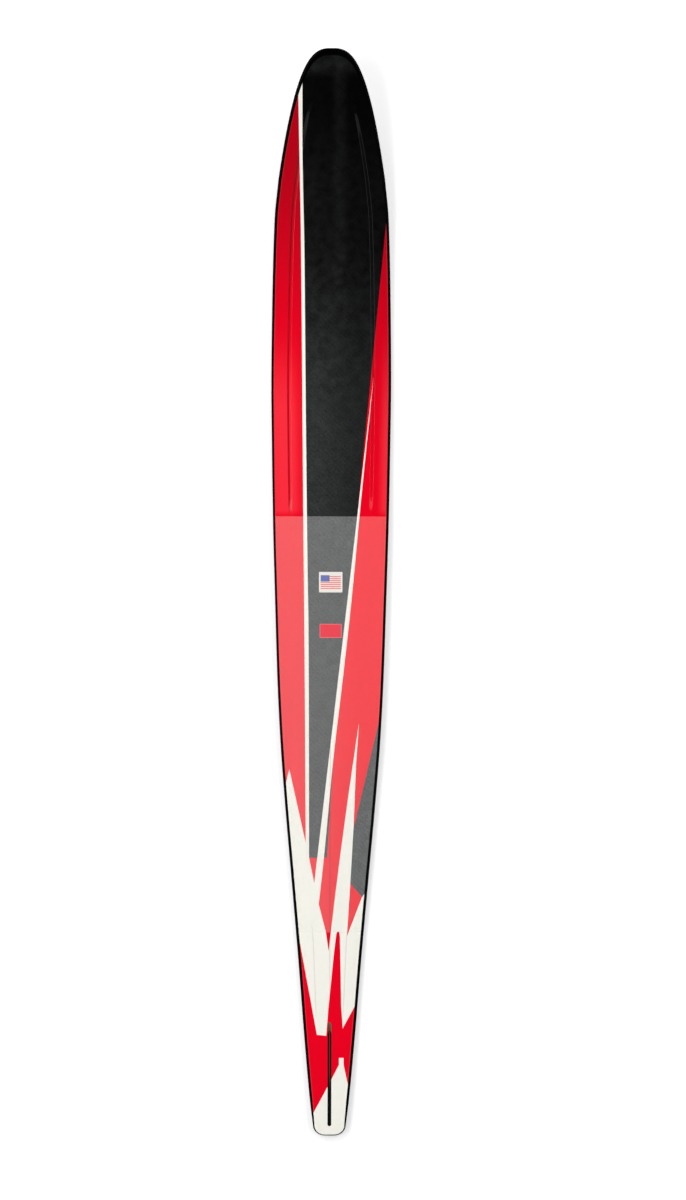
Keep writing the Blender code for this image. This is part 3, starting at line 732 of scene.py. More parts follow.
def closed_shell(name, parts):
    """One closed mesh from lists of points and triangles, joined where they meet, facing out."""
    firsts = np.cumsum([0] + [len(points) for points, _ in parts])
    points = np.concatenate([points for points, _ in parts])
    triangles = np.concatenate([faces + first for (_, faces), first in zip(parts, firsts)])
    mesh = new_mesh(name, points, triangles)
    work = bmesh.new()
    work.from_mesh(mesh)
    bmesh.ops.remove_doubles(work, verts=work.verts, dist=JOIN_WITHIN)
    bmesh.ops.recalc_face_normals(work, faces=work.faces)
    work.to_mesh(mesh)
    work.free()
    mesh.shade_smooth()
    mesh.set_sharp_from_angle(angle=math.radians(SHARP_ANGLE))
    return mesh


def shell_parts(plan, faces, hole, outer_height, inner_height, rows):
    """A shell's parts: its outer and inner faces over the plan, the wall of the slot between them,
    and the band that rolls round the outline outside and back inside."""
    count = len(plan)
    outer, inner = with_height(plan, outer_height), with_height(plan, inner_height)
    edges = border_edges(faces, count)
    middle = plan[edges].mean(axis=1)
    a, b = edges[inside(middle, drawn_in(hole[::-1], -CLEAR_OF_SLOT))].T
    wall = quads(a, a + count, b + count, b)
    both = np.concatenate((faces, faces[:, ::-1] + count, wall))
    return [(np.concatenate((outer, inner)), both), rolled_strip(np.array(rows))]


def clear_deck_points():
    """The deck's points that lie clear of the films' edge and of the slot."""
    points = deck_points()
    near_slot = inside(points, drawn_in(slot[::-1], -CLEAR_OF_EDGE))
    return points[within(points, drawn_in(film_edge, CLEAR_OF_EDGE)) & ~near_slot]


def make_deck_shell(material):
    """The moulded top shell. From the films' edge its rim goes on with the deck and then rolls
    down to the parting line by a superellipse, and its wall comes back inside at the skin's
    thickness."""
    square = 2 / ROLL_POWER
    turn = np.linspace(0, np.pi / 2, ROLL_ROWS)
    out, down = np.sin(turn) ** square, 1 - np.cos(turn) ** square
    parting = rail_height(place_round) + PARTING_HEIGHT + PARTING_GAP / 2
    start = drawn_in(outline, np.minimum(rim_width, RIM))

    def flat(share, thickness):
        """A row between the films' edge and the start of the roll, by its share of the way."""
        plan = film_edge + (start - film_edge) * share
        return with_height(plan, deck_z(*plan.T) - thickness)

    def roll(share_out, share_down, thickness):
        """A row of the roll, by its shares of the way out and down to the parting line."""
        plan = start + (drawn_in(outline, thickness) - start) * share_out
        height = deck_z(*start.T) - thickness
        return with_height(plan, height - share_down * (height - parting))

    flat_shares = np.arange(FLAT_ROWS) / FLAT_ROWS
    roll_shares = list(zip(out, down))
    rows = [flat(0.0, RECESS)]
    rows += [flat(share, 0.0) for share in flat_shares]
    rows += [roll(*shares, 0.0) for shares in roll_shares]
    rows += [roll(*shares, SKIN) for shares in roll_shares[::-INNER_ROLL_EVERY]]
    rows += [flat(share, SKIN) for share in flat_shares[::-1]]
    plan, faces = fill(
        [film_edge, slot],
        clear_deck_points(),
        lambda centre: within(centre, film_edge) & ~inside(centre, slot),
    )
    height = deck_z(*plan.T)
    parts = shell_parts(plan, faces, slot, height - RECESS, height - SKIN, rows)
    mesh = closed_shell("deck_shell", parts)
    add_piece("deck_shell", mesh, "deck_skin", "carbon_skin", material)


def make_base_shell(material):
    """The moulded bottom shell: the bevel from the parting line down to the rails, the rails and
    the tunnel between them, and the same again inside at the skin's thickness. The bevel stops
    getting narrower just behind the blunt nose."""
    parting = rail_height(place_round) + PARTING_HEIGHT - PARTING_GAP / 2
    behind_nose = np.minimum(place_round, LENGTH - NOSE_BEVEL_FROM)
    bevel = np.minimum(BEVEL, half_width(behind_nose) * BEVEL_SHARE)
    foot = drawn_in(outline, bevel)
    turn = np.linspace(0, np.pi / 2, BEVEL_ROWS)

    def slope(angle, thickness):
        """A row of the bevel, by powers of its angle's sine and cosine taken from one: at no angle
        on the parting line, and at a right angle on the foot."""
        in_by = thickness + (bevel - thickness) * (1 - np.cos(angle)) ** BEVEL_POWER
        bottom = base_z(*foot.T) + thickness
        height = bottom + (parting - bottom) * (1 - np.sin(angle)) ** BEVEL_POWER
        return with_height(drawn_in(outline, in_by), height)

    rows = [slope(angle, 0.0) for angle in turn[::-1]]
    rows += [slope(angle, SKIN) for angle in turn[::INNER_BEVEL_EVERY]]
    points = base_points()
    near_slot = inside(points, drawn_in(base_slot[::-1], -CLEAR_OF_SLOT))
    points = points[within(points, drawn_in(foot, CLEAR_OF_EDGE)) & ~near_slot]
    plan, faces = fill(
        [foot, base_slot],
        points,
        lambda centre: within(centre, foot) & ~inside(centre, base_slot),
    )
    height = base_z(*plan.T)
    parts = shell_parts(plan, faces, base_slot, height, height + SKIN, rows)
    mesh = closed_shell("base_shell", parts)
    add_piece("base_shell", mesh, "base_skin", "carbon_skin", material)


def corner(name):
    """A corner of the colour fields in plan. Those beside the slot keep to the slot."""
    share, across = CORNERS[name]
    if share < DRAWN_SLOT_FRONT_SHARE:
        place = SLOT_FRONT * share / DRAWN_SLOT_FRONT_SHARE
    else:
        ahead = (share - DRAWN_SLOT_FRONT_SHARE) / (1 - DRAWN_SLOT_FRONT_SHARE)
        place = SLOT_FRONT + (LENGTH - SLOT_FRONT) * ahead
    return np.array((across * HALF_WIDTH, place - MIDDLE))


def smooth_edge(names):
    """The X of an edge as a smooth function of its Y, through a run of corners."""
    knots = sorted((corner(name)[1], corner(name)[0]) for name in names)
    return smooth_through(knots)


smooth_edges = {names: smooth_edge(names) for names in SMOOTH_EDGES}


def run_between(first, last):
    """Plan points from one corner up to the next, straight or along the smooth edge they share."""
    start, end = corner(first), corner(last)
    count = max(1, math.ceil(np.linalg.norm(end - start) / EDGE_STEP))
    points = start + (end - start) * (np.arange(count) / count)[:, None]
    for names, across in smooth_edges.items():
        if first in names and last in names and abs(names.index(first) - names.index(last)) == 1:
            points[:, 0] = across(points[:, 1])
    return points


def field_loop(name):
    """A colour field's outline in plan, run by run from corner to corner and back to the first."""
    names = FIELDS[name]
    return np.concatenate([run_between(a, b) for a, b in zip(names, names[1:] + names[:1])])


def make_films(materials):
    """Each colour field's film: the deck inside its outline and the films' edge, less the slot."""
    points = clear_deck_points()
    for name in FIELDS:
        loop = field_loop(name)
        colour = name.split("_")[0]
        plan, faces = fill(
            [loop, film_edge, slot],
            points[inside(points, loop)],
            lambda centre: inside(centre, loop) & within(centre, film_edge) & ~inside(centre, slot),
        )
        mesh = slab(name + "_film", plan, faces, -FILM, 0.0)
        add_piece(name + "_film", mesh, name, colour + "_film", materials[colour])


def rounded_rectangle(size, share, radius):
    """A rectangle on the centre line with quarter-circle corners, counter-clockwise."""
    x, y = size[0] / 2 - radius, size[1] / 2 - radius
    middle = share * LENGTH - MIDDLE
    turn = np.linspace(0, np.pi / 2, STICKER_CORNER_POINTS)
    loop = []
    for quarter, (across, along) in enumerate(((x, y), (-x, y), (-x, -y), (x, -y))):
        loop.append(arc(turn + quarter * np.pi / 2, radius) + (across, middle + along))
    return np.concatenate(loop)


def make_mat_and_stickers(materials):
    """The frosted mounting film, rim to rim between two straight edges, and the stickers on it."""
    points = clear_deck_points()
    across = np.linspace(-HALF_WIDTH, HALF_WIDTH, MAT_END_POINTS)
    rear_end = np.column_stack((across, np.full_like(across, MAT_REAR)))
    front_end = np.column_stack((across[::-1], np.full_like(across, MAT_FRONT)))
    ends = np.concatenate((rear_end, front_end))
    inner_edge = drawn_in(film_edge, MAT_INSET)
    plan, faces = fill(
        [ends, inner_edge],
        points[inside(points, ends)],
        lambda centre: inside(centre, ends) & within(centre, inner_edge),
    )
    mesh = slab("frosted_mounting_film", plan, faces, *MAT_LAYER)
    add_piece("frosted_mounting_film", mesh, "mounting_film", "frosted_film", materials["frosted"])
    for node, size, share, slot_name in (
        ("striped_sticker", STRIPED_STICKER_SIZE, STRIPED_STICKER_PLACE, "sticker_white"),
        ("plain_label", PLAIN_LABEL_SIZE, PLAIN_LABEL_PLACE, "sticker_red"),
    ):
        loop = rounded_rectangle(size, share, STICKER_CORNER)
        under = points[inside(points, loop)]
        plan, faces = fill([loop], under, lambda centre: inside(centre, loop))
        mesh = slab(node + "_vinyl", plan, faces, *STICKER_LAYER)
        add_piece(node + "_vinyl", mesh, node, slot_name, materials[node])


# The names that Shade.surface() gives to a Principled shader's sockets
SOCKETS = {
    "colour": "Base Color",
    "roughness": "Roughness",
    "specular": "Specular IOR Level",
    "coat": "Coat Weight",
    "coat_roughness": "Coat Roughness",
    "coat_ior": "Coat IOR",
    "alpha": "Alpha",
    "normal": "Normal",
}

# Colours of the finishes
# The second red is the painted sheen and highlight of the red film
RED, SHEEN_RED = (0.89, 0.0004, 0.016), (0.96, 0.026, 0.046)
WHITE = (0.985, 0.970, 0.885)
CARBON = (0.96, 1.0, 1.02)
RIM_CARBON = (1.0, 1.0, 1.0)
BASE_CARBON = (1.0, 1.0, 1.03)
FROST = (0.98, 0.98, 0.97)
VINYL_WHITE, VINYL_STRIPE, VINYL_BLOCK = (0.88, 0.84, 0.78), (0.84, 0.17, 0.19), (0.16, 0.19, 0.46)
LABEL_EDGE, LABEL_RED = (0.93, 0.22, 0.24), (0.86, 0.060, 0.085)
CORE_FOAM = (0.72, 0.62, 0.42)
DARK_PLY, PALE_PLY = (0.230, 0.130, 0.080), (0.360, 0.220, 0.140)
PAPER = (1.0, 1.0, 1.0)
# WARM colours the painted line of light on the floor below the slot
WARM = (1.0, 0.42, 0.34)

# How far inside the crease the middle of its painted shade lies, the X of the dark films' painted
# sheen, the Y from which the red carries painted shade on the right, and the width of a tow in the
# films and in the base
CREASE_SHADE_SHIFT = 0.0004
SHEEN_AT = 0.012
RED_RIGHT_FROM = 0.117
FILM_TOW, BASE_TOW = 0.0020, 0.0030

# Ramps of the finishes: low, high, value at low, value at high. Along the ski and across it they
# are in metres from its middle, and beside a crease or inside the films' edge in metres from that.
# The painted crease shade goes by the step's share, and UPRIGHT_BY_SLOPE by how far the wall faces
# up.
# Where the painted shade in the left crease lies, and the tail's thin grey lines
CREASE_SHADE_BESIDE = (0.0006, 0.0024, 1.0, 0.0)
CREASE_SHADE_BY_STEP = (0.0, 0.6, 0.0, 1.0)
LINE_BESIDE = (0.0002, 0.0013, 1.0, 0.0)
SPINE_STARTS, SPINE_ENDS = (-0.665, -0.560, 0.1, 1.0), (-0.215, -0.190, 1.0, 0.0)
TAIL_CREASE_STARTS, TAIL_CREASE_ENDS = (-0.665, -0.630, 0.0, 0.8), (-0.530, -0.500, 1.0, 0.0)

# The red darker up the tip is in part painted shade of the upturned tip and in part a fade in the
# print
RED_ALONG = (0.28, 0.72, 1.0, 0.50)
# Painted shade: the red darker on the right, where less light falls
RED_RIGHT_ALONG = (RED_RIGHT_FROM, 0.42, 0.03, 0.18)
# Painted sheen and highlight on the red: along the ski, beside the left crease, inside the right
# edge and at the cut edge
RED_SHEEN_STARTS, RED_SHEEN_ENDS = (0.115, 0.13, 0.0, 1.0), (0.24, 0.42, 1.0, 0.0)
RED_SHEEN_BESIDE_CREASE = (-0.018, -0.004, 0.3, 1.2)
RED_SHEEN_INSIDE_EDGE = (0.002, 0.016, 1.0, 0.0)
RED_HIGHLIGHT_CUT_EDGE = (0.0004, 0.0018, 0.9, 0.0)

WHITE_ALONG = (0.42, 0.62, 1.0, 0.93)

# The dark film's painted light: along the ski a painted sheen where the deck lies level, fading to
# painted shade up the tip, with a little painted light on the tip's last curve; across it a painted
# sheen on the left and painted shade on the right
DARK_ALONG = (0.22, 0.58, 0.0250, 0.0042)
DARK_SHOVEL = (0.60, 0.76, 0.0, 0.0030)
DARK_TIP = (0.790, 0.812, 0.0, 0.0060)
DARK_ACROSS = (-0.040, 0.050, 1.35, 0.68)
DARK_UNDER_MAT = (-0.040, 0.050, 0.038, 0.078)
# A painted reflection band on the dark film
SHEEN_BESIDE, SHEEN_ALONG = (0.002, 0.016, 0.0030, 0.0), (0.30, 0.50, 0.0, 1.0)
MOTTLE_ALONG = (0.20, 0.50, 0.7, 2.2)
DARK_COAT_ALONG = (0.50, 0.74, 0.5, 0.12)

UPRIGHT_BY_SLOPE = (0.02, 0.08, 1.0, 0.0)
# The frost denser on the left as painted light, for the stronger light there
MAT_ALPHA_ACROSS = (-0.050, 0.050, 0.061, 0.042)

# Shares of a sticker's width and height, from its middle: the stripes' side, foot and head, how
# many of them its height would hold, the block's right side and foot, and the label's red field
STRIPES_WITHIN = (0.43, -0.33, 0.34)
STRIPES_PER_HEIGHT = 10.4
BLOCK_RIGHT, BLOCK_FOOT = -0.05, 0.03
LABEL_WITHIN = (0.47, 0.455)

# The floor: its half size, how far it lies below the rails, its paint, its glow, and the painted
# shadow right below the slot with its painted line of light
FLOOR_SIZE = 9.0
FLOOR_DROP = 0.0001
FLOOR_PAINT = 0.78
FLOOR_GLOW = 0.45
SLOT_SHADOW_HALF_WIDTH = 0.0031
SLOT_SHADOW_REAR, SLOT_SHADOW_FRONT = 0.0135 - MIDDLE, 0.1755 - MIDDLE
SLOT_SHADOW_DEPTH = 0.94
GLEAM_BESIDE, GLEAM_ALONG = (0.0003, 0.0011, 0.11, 0.0), (-0.775, -0.735, 0.0, 1.0)

# The studio's air, by the sideways and upward parts of a ray's direction
AIR = 0.03
LEFT_WALL = (-0.45, -0.20, 0.87, 0.0), (-0.85, -0.60, 0.75, 0.0)
RIGHT_WALL = (0.20, 0.45, 0.0, 0.38), (0.60, 0.85, 0.0, 0.30)
BACKDROP_TOP = (0.05, 0.15, 1.0, 0.0)

# Lamps: name, place, size, power in watts, whether the gloss mirrors it
SOFTBOXES = (
    ("softbox_left", (-1.6, 0.0, 2.9), (1.2, 3.4), 46.0, True),
    ("softbox_right", (1.7, 0.0, 2.9), (1.0, 3.4), 32.0, True),
    ("softbox_ahead", (0.0, 3.4, 2.2), (2.6, 1.4), 46.0, False),
)

# The camera: its height, how much length the picture's height shows, its place and its turn
CAMERA_HEIGHT = 45.0
SEEN_LENGTH = 1.8512
CAMERA_PLACE = (0.0190, -0.0120)
CAMERA_TURN = 0.148
SENSOR = 36.0
CLIP_END = 200.0


class Shade:
    """One socket of a node tree. Arithmetic on it adds Math nodes, and node() adds any other."""

    def __init__(self, tree, socket=None):
        self.tree = tree
        self.socket = socket

    def node(self, kind, sockets=None, output=0, **settings):
        """Adds a node of a kind: its settings first, then the value or link of each socket."""
        made = self.tree.nodes.new(kind)
        for name, value in settings.items():
            setattr(made, name, value)
        for name, value in (sockets or {}).items():
            if isinstance(value, Shade):
                self.tree.links.new(value.socket, made.inputs[name])
            else:
                made.inputs[name].default_value = value
        return Shade(self.tree, made.outputs[output] if made.outputs else None)

    def math(self, operation, first, second=0.0):
        """A Math node of one operation on one or two values."""
        return self.node("ShaderNodeMath", {0: first, 1: second}, operation=operation)

    def __add__(self, other):
        return self.math("ADD", self, other)

    def __radd__(self, other):
        return self.math("ADD", other, self)

    def __sub__(self, other):
        return self.math("SUBTRACT", self, other)

    def __rsub__(self, other):
        return self.math("SUBTRACT", other, self)

    def __mul__(self, other):
        return self.math("MULTIPLY", self, other)

    def __rmul__(self, other):
        return self.math("MULTIPLY", other, self)

    def __truediv__(self, other):
        return self.math("DIVIDE", self, other)

    def __mod__(self, other):
        return self.math("FLOORED_MODULO", self, other)

    def __lt__(self, other):
        return self.math("LESS_THAN", self, other)

    def __gt__(self, other):
        return self.math("GREATER_THAN", self, other)

    def floor(self):
        return self.math("FLOOR", self)

    def absolute(self):
        return self.math("ABSOLUTE", self)

    def ramp(self, low, high, at_low, at_high):
        """The value's smooth step from at_low, at low and below, to at_high, at high and above."""
        sockets = {
            "Value": self,
            "From Min": low,
            "From Max": high,
            "To Min": at_low,
            "To Max": at_high,
        }
        return self.node("ShaderNodeMapRange", sockets, interpolation_type="SMOOTHSTEP")

    def between(self, first, second):
        """A colour that goes from the first to the second as this value goes from 0 to 1."""
        first, second = (c if isinstance(c, Shade) else (*c, 1.0) for c in (first, second))
        return self.node("ShaderNodeMix", {0: self, 6: first, 7: second}, 2, data_type="RGBA")

    def tinted(self, colour):
        """A colour made lighter or darker by this value."""
        return self.node("ShaderNodeVectorMath", {0: colour, "Scale": self}, operation="SCALE")

    def parts(self, axes):
        """The parts of a vector that belong to the axes."""
        return [self.node("ShaderNodeSeparateXYZ", {0: self}, output=axis) for axis in axes]

    def object_place(self):
        """The point on the object."""
        return self.node("ShaderNodeTexCoord", output="Object")

    def deck_marks(self):
        """The film's marks: distance outside the crease, inside its edge, and the step's share."""
        return self.node("ShaderNodeAttribute", output="Vector", attribute_name=MARKS)

    def noise(self, at, scale, detail=2.0):
        """Soft noise about 0, from about -0.5 to 0.5, with cells of the inverse of the scale."""
        sockets = {"Vector": at, "Scale": scale, "Detail": detail}
        return self.node("ShaderNodeTexNoise", sockets) - 0.5

    def bump(self, height, distance, strength=1.0):
        """A normal from a height, where a height of 1 stands the distance proud in metres."""
        sockets = {"Height": height, "Distance": distance, "Strength": strength}
        return self.node("ShaderNodeBump", sockets)

    def seen(self):
        """1 for the rays that show a backdrop: to the camera, off gloss and through glass."""
        names = ("Is Camera Ray", "Is Glossy Ray", "Is Transmission Ray")
        camera, gloss, glass = (self.node("ShaderNodeLightPath", output=name) for name in names)
        return self.math("MAXIMUM", self.math("MAXIMUM", camera, gloss), glass)

    def surface(self, **inputs):
        """A Principled surface from inputs under the names of SOCKETS."""
        sockets = {SOCKETS[name]: value for name, value in inputs.items()}
        return self.node("ShaderNodeBsdfPrincipled", sockets)


def material(name, build):
    """A node material whose surface comes from a function of its empty tree."""
    made = bpy.data.materials.new(name)
    made.use_nodes = True
    made.node_tree.nodes.clear()
    start = Shade(made.node_tree)
    start.node("ShaderNodeOutputMaterial", {"Surface": build(start)})
    return made


def twill(x, y, tow):
    """Two-by-two twill of carbon tows: where a tow along the ski lies on top, and the round height
    of the tow that does."""
    column, row = x / tow, y / tow
    lengthwise = (column.floor() + row.floor()) % 4 < 2
    across_one = (column % 1 - 0.5).absolute() * 2
    across_other = (row % 1 - 0.5).absolute() * 2
    across = lengthwise * across_one + (1 - lengthwise) * across_other
    return lengthwise, 1 - across * across


def worn_gloss(start, at):
    """What wear adds to a film's roughness: fine scuffs and wider hazy patches."""
    return start.noise(at, 900.0) * 0.06 + start.noise(at, 14.0) * 0.05


def orange_peel(start, at):
    """The very fine waviness of a film's clear coat."""
    return start.bump(start.noise(at, 1200.0), 0.00002)


def painted_crease_shade(x, beyond, depth):
    """Painted shade in the mould's crease, on the left flange's side: 1 on the line, 0 off it."""
    line = (beyond + CREASE_SHADE_SHIFT).absolute().ramp(*CREASE_SHADE_BESIDE)
    return line * (x < 0) * depth.ramp(*CREASE_SHADE_BY_STEP)


def tail_lines(start, at, x, y, beyond):
    """The thin grey lines of the tail's spine and of its two creases: 1 on a line, 0 off it."""
    spine = x.absolute().ramp(*LINE_BESIDE) * y.ramp(*SPINE_STARTS) * y.ramp(*SPINE_ENDS)
    crease = beyond.absolute().ramp(*LINE_BESIDE)
    crease = crease * y.ramp(*TAIL_CREASE_STARTS) * y.ramp(*TAIL_CREASE_ENDS)
    return (spine + crease) * (0.9 + start.noise(at, 160.0) * 0.8)


def under_mat(y):
    """1 below the mounting film, 0 elsewhere."""
    return (y > MAT_REAR) * (y < MAT_FRONT)


def red_film(start):
    """Red under a clear coat. It goes darker toward the tip, in part as painted shade of the
    upturned tip and in part as a fade in the print, and more so on the right as painted shade. It
    carries a painted sheen on the left shoulder and the right flange, a painted highlight at its
    cut edge, painted shade in the left crease, and darker tail lines."""
    at = start.object_place()
    x, y = at.parts("XY")
    beyond, inside_edge, depth = start.deck_marks().parts("XYZ")
    # Darker up the tip: in part painted shade of the upturned tip, in part a fade in the print
    tone = y.ramp(*RED_ALONG) + start.noise(at, 700.0) * 0.12 + start.noise(at, 30.0) * 0.04
    tone = tone + under_mat(y) * 0.08
    # Painted shade: darker on the right, where less light falls
    tone = tone * (1 - (x > 0) * y.ramp(*RED_RIGHT_ALONG) * (y > RED_RIGHT_FROM))
    # Painted shade in the left crease, which also takes off most of the coat there
    crease = painted_crease_shade(x, beyond, depth)
    shade = (1 - crease * 0.45) * (1 - tail_lines(start, at, x, y, beyond) * 0.30)
    # Painted sheen on the left shoulder and the right flange, and a painted highlight at the cut
    # edge
    middle = y.ramp(*RED_SHEEN_ENDS) * y.ramp(*RED_SHEEN_STARTS)
    left = beyond.ramp(*RED_SHEEN_BESIDE_CREASE) * (x < 0)
    right = inside_edge.ramp(*RED_SHEEN_INSIDE_EDGE) * (x > 0)
    painted_sheen = (left + right) * middle * (1 - crease) + inside_edge.ramp(*RED_HIGHLIGHT_CUT_EDGE)
    return start.surface(
        colour=(tone * shade).tinted(painted_sheen.between(RED, SHEEN_RED)),
        roughness=0.34 + worn_gloss(start, at),
        specular=0.02,
        coat=0.6 - crease * 0.5,
        coat_roughness=0.10,
        coat_ior=1.35,
        normal=orange_peel(start, at),
    )


def white_film(start):
    """Warm white under a clear coat, a little darker toward the tip and in the tail's lines."""
    at = start.object_place()
    x, y = at.parts("XY")
    [beyond] = start.deck_marks().parts("X")
    tone = y.ramp(*WHITE_ALONG) + start.noise(at, 600.0) * 0.05 + start.noise(at, 110.0) * 0.04
    tone = tone * (1 - tail_lines(start, at, x, y, beyond) * 0.22)
    return start.surface(
        colour=tone.tinted(WHITE),
        roughness=0.36 + worn_gloss(start, at),
        specular=0.10,
        coat=0.6,
        coat_roughness=0.10,
        coat_ior=1.35,
        normal=orange_peel(start, at),
    )


def dark_film(start):
    """Carbon twill under a clear coat. Its tone carries painted light: a painted sheen where the
    deck lies level and on the left, painted shade up the tip and on the right, a little painted
    light again on the tip's last curve, a painted reflection band along the tip's middle, and
    painted shade in the left crease. It is mottled most toward the tip."""
    at = start.object_place()
    x, y = at.parts("XY")
    lengthwise, height = twill(x, y, FILM_TOW)
    beyond, depth = start.deck_marks().parts("XZ")
    # Painted light: a painted sheen where the deck lies level and on the left, painted shade up the
    # tip and on the right
    tone = (y.ramp(*DARK_ALONG) - y.ramp(*DARK_SHOVEL) + y.ramp(*DARK_TIP)) * x.ramp(*DARK_ACROSS)
    # Painted reflection: a lighter band along the middle of the tip half
    tone = tone + (x - SHEEN_AT).absolute().ramp(*SHEEN_BESIDE) * y.ramp(*SHEEN_ALONG)
    tone = tone + under_mat(y) * x.ramp(*DARK_UNDER_MAT)
    # Painted shade in the left crease
    tone = tone * (1 - painted_crease_shade(x, beyond, depth) * 0.5)
    mottle = start.noise(at, 560.0) * 1.5 + start.noise(at, 80.0, 4.0) * y.ramp(*MOTTLE_ALONG)
    tone = tone * (0.92 + lengthwise * 0.10 + height * 0.06 + mottle)
    return start.surface(
        colour=tone.tinted(CARBON),
        roughness=0.30 + worn_gloss(start, at) + lengthwise * 0.05,
        specular=0.02,
        coat=y.ramp(*DARK_COAT_ALONG),
        coat_roughness=0.08,
        coat_ior=1.35,
        normal=start.bump(height, 0.00003, 0.5),
    )


def rim_carbon(start):
    """Bare carbon, dull over the roll and glossy down the upright wall below it."""
    at = start.object_place()
    [lean] = start.node("ShaderNodeTexCoord", output="Normal").parts("Z")
    upright = lean.absolute().ramp(*UPRIGHT_BY_SLOPE)
    tone = 0.0008 + start.noise(at, 300.0) * 0.0004 + upright * 0.003
    return start.surface(
        colour=tone.tinted(RIM_CARBON),
        roughness=0.38 + start.noise(at, 60.0) * 0.10,
        specular=0.0,
        coat=0.05 + upright * 0.6,
        coat_roughness=0.12,
        normal=start.bump(start.noise(at, 500.0), 0.00003),
    )


def base_carbon(start):
    """Bare carbon twill under a full clear coat."""
    at = start.object_place()
    x, y = at.parts("XY")
    lengthwise, height = twill(x, y, BASE_TOW)
    tone = 0.006 + lengthwise * 0.008 + height * 0.004 + start.noise(at, 260.0) * 0.006
    return start.surface(
        colour=tone.tinted(BASE_CARBON),
        roughness=0.30 + lengthwise * 0.12 + start.noise(at, 40.0) * 0.08,
        coat=1.0,
        coat_roughness=0.06,
        normal=start.bump(height, 0.00008, 0.6),
    )


def frosted(start):
    """Thin, grainy, see-through frost, a little denser on the left as painted light for the
    stronger light there.
    """
    at = start.object_place()
    [x] = at.parts("X")
    grain = start.noise(at, 1000.0, 3.0)
    return start.surface(
        colour=(1 + grain * 0.08).tinted(FROST),
        roughness=0.75 + grain * 0.2,
        specular=0.2,
        # Denser on the left as painted light
        alpha=x.ramp(*MAT_ALPHA_ACROSS) + grain * 0.05 + start.noise(at, 240.0) * 0.02,
        normal=start.bump(grain, 0.00003),
    )


def vinyl(start, size, share, paint):
    """Satin vinyl, coloured by a function of the shares of its width and height from its middle."""
    at = start.object_place()
    x, y = at.parts("XY")
    colour = paint(x / size[0], (y - (share * LENGTH - MIDDLE)) / size[1])
    return start.surface(
        colour=colour,
        roughness=0.42 + start.noise(at, 800.0) * 0.08,
        specular=0.3,
    )


def stripes(x, y):
    """Plain stripes inside a white edge, with a plain block at their upper left."""
    side, foot, head = STRIPES_WITHIN
    field = (x.absolute() < side) * (y > foot) * (y < head)
    stripe = ((y - foot) * STRIPES_PER_HEIGHT % 1) < 0.5
    block = (x > -side) * (x < BLOCK_RIGHT) * (y > BLOCK_FOOT) * (y < head)
    return block.between((field * stripe).between(VINYL_WHITE, VINYL_STRIPE), VINYL_BLOCK)


def plain_red(x, y):
    """One red inside a thin paler edge."""
    side, head = LABEL_WITHIN
    return ((x.absolute() < side) * (y.absolute() < head)).between(LABEL_EDGE, LABEL_RED)


def striped_vinyl(start):
    """The striped sticker's vinyl."""
    return vinyl(start, STRIPED_STICKER_SIZE, STRIPED_STICKER_PLACE, stripes)


def plain_vinyl(start):
    """The plain label's vinyl."""
    return vinyl(start, PLAIN_LABEL_SIZE, PLAIN_LABEL_PLACE, plain_red)


def foam(start):
    """Closed-cell foam: darker and duller at the middle of each cell than at its walls."""
    at = start.object_place()
    cells = start.node("ShaderNodeTexVoronoi", {"Vector": at, "Scale": 1400.0})
    return start.surface(
        colour=(0.85 + cells * 0.4).tinted(CORE_FOAM),
        roughness=0.9 - cells * 0.1,
        normal=start.bump(cells, 0.0003),
    )


def laminate(start):
    """Cut glass and carbon plies, level layers that waver a little."""
    at = start.object_place()
    [z] = at.parts("Z")
    plies = (z * 4500.0 + start.noise(at, 60.0) * 3.0) % 1
    grain = start.noise(at, 900.0)
    return start.surface(
        colour=(plies > 0.5).between(DARK_PLY, PALE_PLY),
        roughness=0.6 + grain * 0.2,
        specular=0.2,
        normal=start.bump(grain, 0.0001),
    )


def dress_inner_solids():
    """The solids inside the two shells keep their shapes and get their own finishes."""
    solid = material("cut laminate", laminate)
    light = material("core foam", foam)
    for name, finish in (
        ("tail_block", solid),
        ("tip_block", solid),
        ("rail_left", solid),
        ("rail_right", solid),
        ("foam_core", light),
    ):
        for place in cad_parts[name].material_slots:
            place.material = finish


def floor_paint(start):
    """White, with a little light of its own for eyes, gloss and glass, so only shadow darkens it.
    Right below the slot it carries a painted shadow, dark and without that light of its own, with a
    thin warm painted line of light along its middle."""
    at = start.object_place()
    x, y = at.parts("XY")
    # Painted shadow: right below the slot the floor is darkened and loses its own glow
    slot_shadow = (x.absolute() < SLOT_SHADOW_HALF_WIDTH) * (y > SLOT_SHADOW_REAR) * (y < SLOT_SHADOW_FRONT)
    grey = (FLOOR_PAINT + start.noise(at, 40.0) * 0.01) * (1 - slot_shadow * SLOT_SHADOW_DEPTH)
    plain = start.node("ShaderNodeBsdfDiffuse", {"Color": grey.tinted(PAPER)})
    # Painted light: a thin warm line glowing along the middle of that shadow
    gleam = x.absolute().ramp(*GLEAM_BESIDE) * y.ramp(*GLEAM_ALONG)
    strength = start.seen() * (FLOOR_GLOW * (1 - slot_shadow) + gleam * slot_shadow)
    sockets = {"Color": slot_shadow.between(PAPER, WARM), "Strength": strength}
    glow = start.node("ShaderNodeEmission", sockets)
    return start.node("ShaderNodeAddShader", {0: plain, 1: glow})


def make_floor():
    """A square of floor just below the rails."""
    corners = FLOOR_SIZE * np.array(((-1, -1, 0), (1, -1, 0), (1, 1, 0), (-1, 1, 0)))
    mesh = new_mesh("floor", corners - (0, 0, FLOOR_DROP), np.array(((0, 1, 2), (0, 2, 3))))
    mesh.materials.append(material("floor", floor_paint))
    floor = bpy.data.objects.new("floor", mesh)
    bpy.context.scene.collection.objects.link(floor)


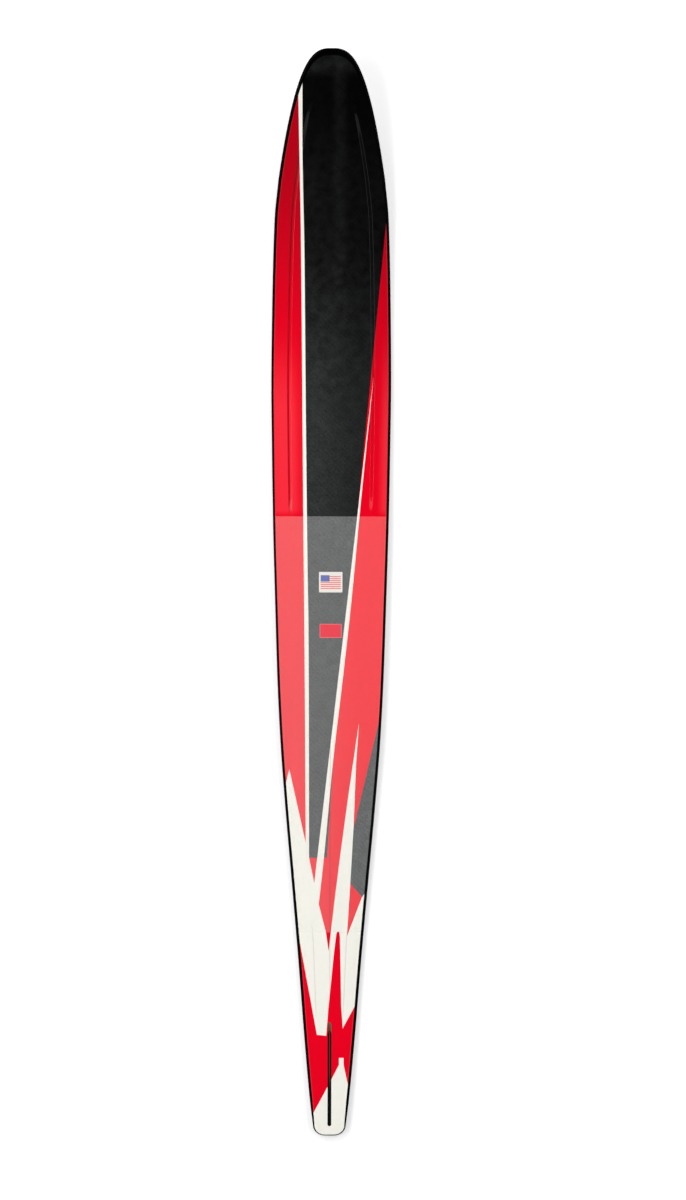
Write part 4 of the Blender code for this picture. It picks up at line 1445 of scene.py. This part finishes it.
def make_world():
    """Studio air: a white backdrop up to just above the floor's far edge, a bright wall high on the
    left, a dimmer one on the right, else dark."""
    world = bpy.data.worlds.new("studio")
    world.use_nodes = True
    world.node_tree.nodes.clear()
    start = Shade(world.node_tree)
    side, up = start.node("ShaderNodeTexCoord", output="Generated").parts("XZ")
    backdrop = start.seen() * up.ramp(*BACKDROP_TOP)
    left, right = (side.ramp(*edge) - side.ramp(*far) for edge, far in (LEFT_WALL, RIGHT_WALL))
    strength = start.math("MAXIMUM", backdrop, left + right + AIR)
    light = start.node("ShaderNodeBackground", {"Color": (*PAPER, 1.0), "Strength": strength})
    start.node("ShaderNodeOutputWorld", {"Surface": light})
    bpy.context.scene.world = world


def make_lights():
    """Rectangular lamps that face the middle of the ski. One that isn't mirrored casts light but
    leaves no bright patch in the gloss."""
    for name, place, size, power, mirrored in SOFTBOXES:
        lamp = bpy.data.lights.new(name, "AREA")
        lamp.shape = "RECTANGLE"
        lamp.size, lamp.size_y = size
        lamp.energy = power
        box = bpy.data.objects.new(name, lamp)
        box.location = place
        box.visible_glossy = mirrored
        x, y, z = place
        box.rotation_euler = (-math.atan2(y, z), math.atan2(x, z), 0.0)
        bpy.context.scene.collection.objects.link(box)


def make_camera():
    """Straight above, far off behind a long lens, as the photograph shows the ski."""
    camera = bpy.data.cameras.new("camera")
    camera.sensor_width = SENSOR
    camera.lens = SENSOR * CAMERA_HEIGHT / SEEN_LENGTH
    camera.clip_end = CLIP_END
    eye = bpy.data.objects.new("camera", camera)
    eye.location = (*CAMERA_PLACE, CAMERA_HEIGHT)
    eye.rotation_euler = (0.0, 0.0, math.radians(CAMERA_TURN))
    bpy.context.scene.collection.objects.link(eye)
    bpy.context.scene.camera = eye


def main():
    """Sets up the studio, then makes each finish and the pieces that wear it."""
    bpy.context.scene.view_settings.view_transform = "Standard"
    make_camera()
    make_world()
    make_lights()
    make_floor()
    materials = {
        "red": material("red film", red_film),
        "white": material("white film", white_film),
        "dark": material("dark twill film", dark_film),
        "frosted": material("frosted film", frosted),
        "striped_sticker": material("striped vinyl", striped_vinyl),
        "plain_label": material("plain red vinyl", plain_vinyl),
    }
    make_base_shell(material("glossy base carbon", base_carbon))
    make_deck_shell(material("satin rim carbon", rim_carbon))
    make_films(materials)
    make_mat_and_stickers(materials)
    dress_inner_solids()


main()
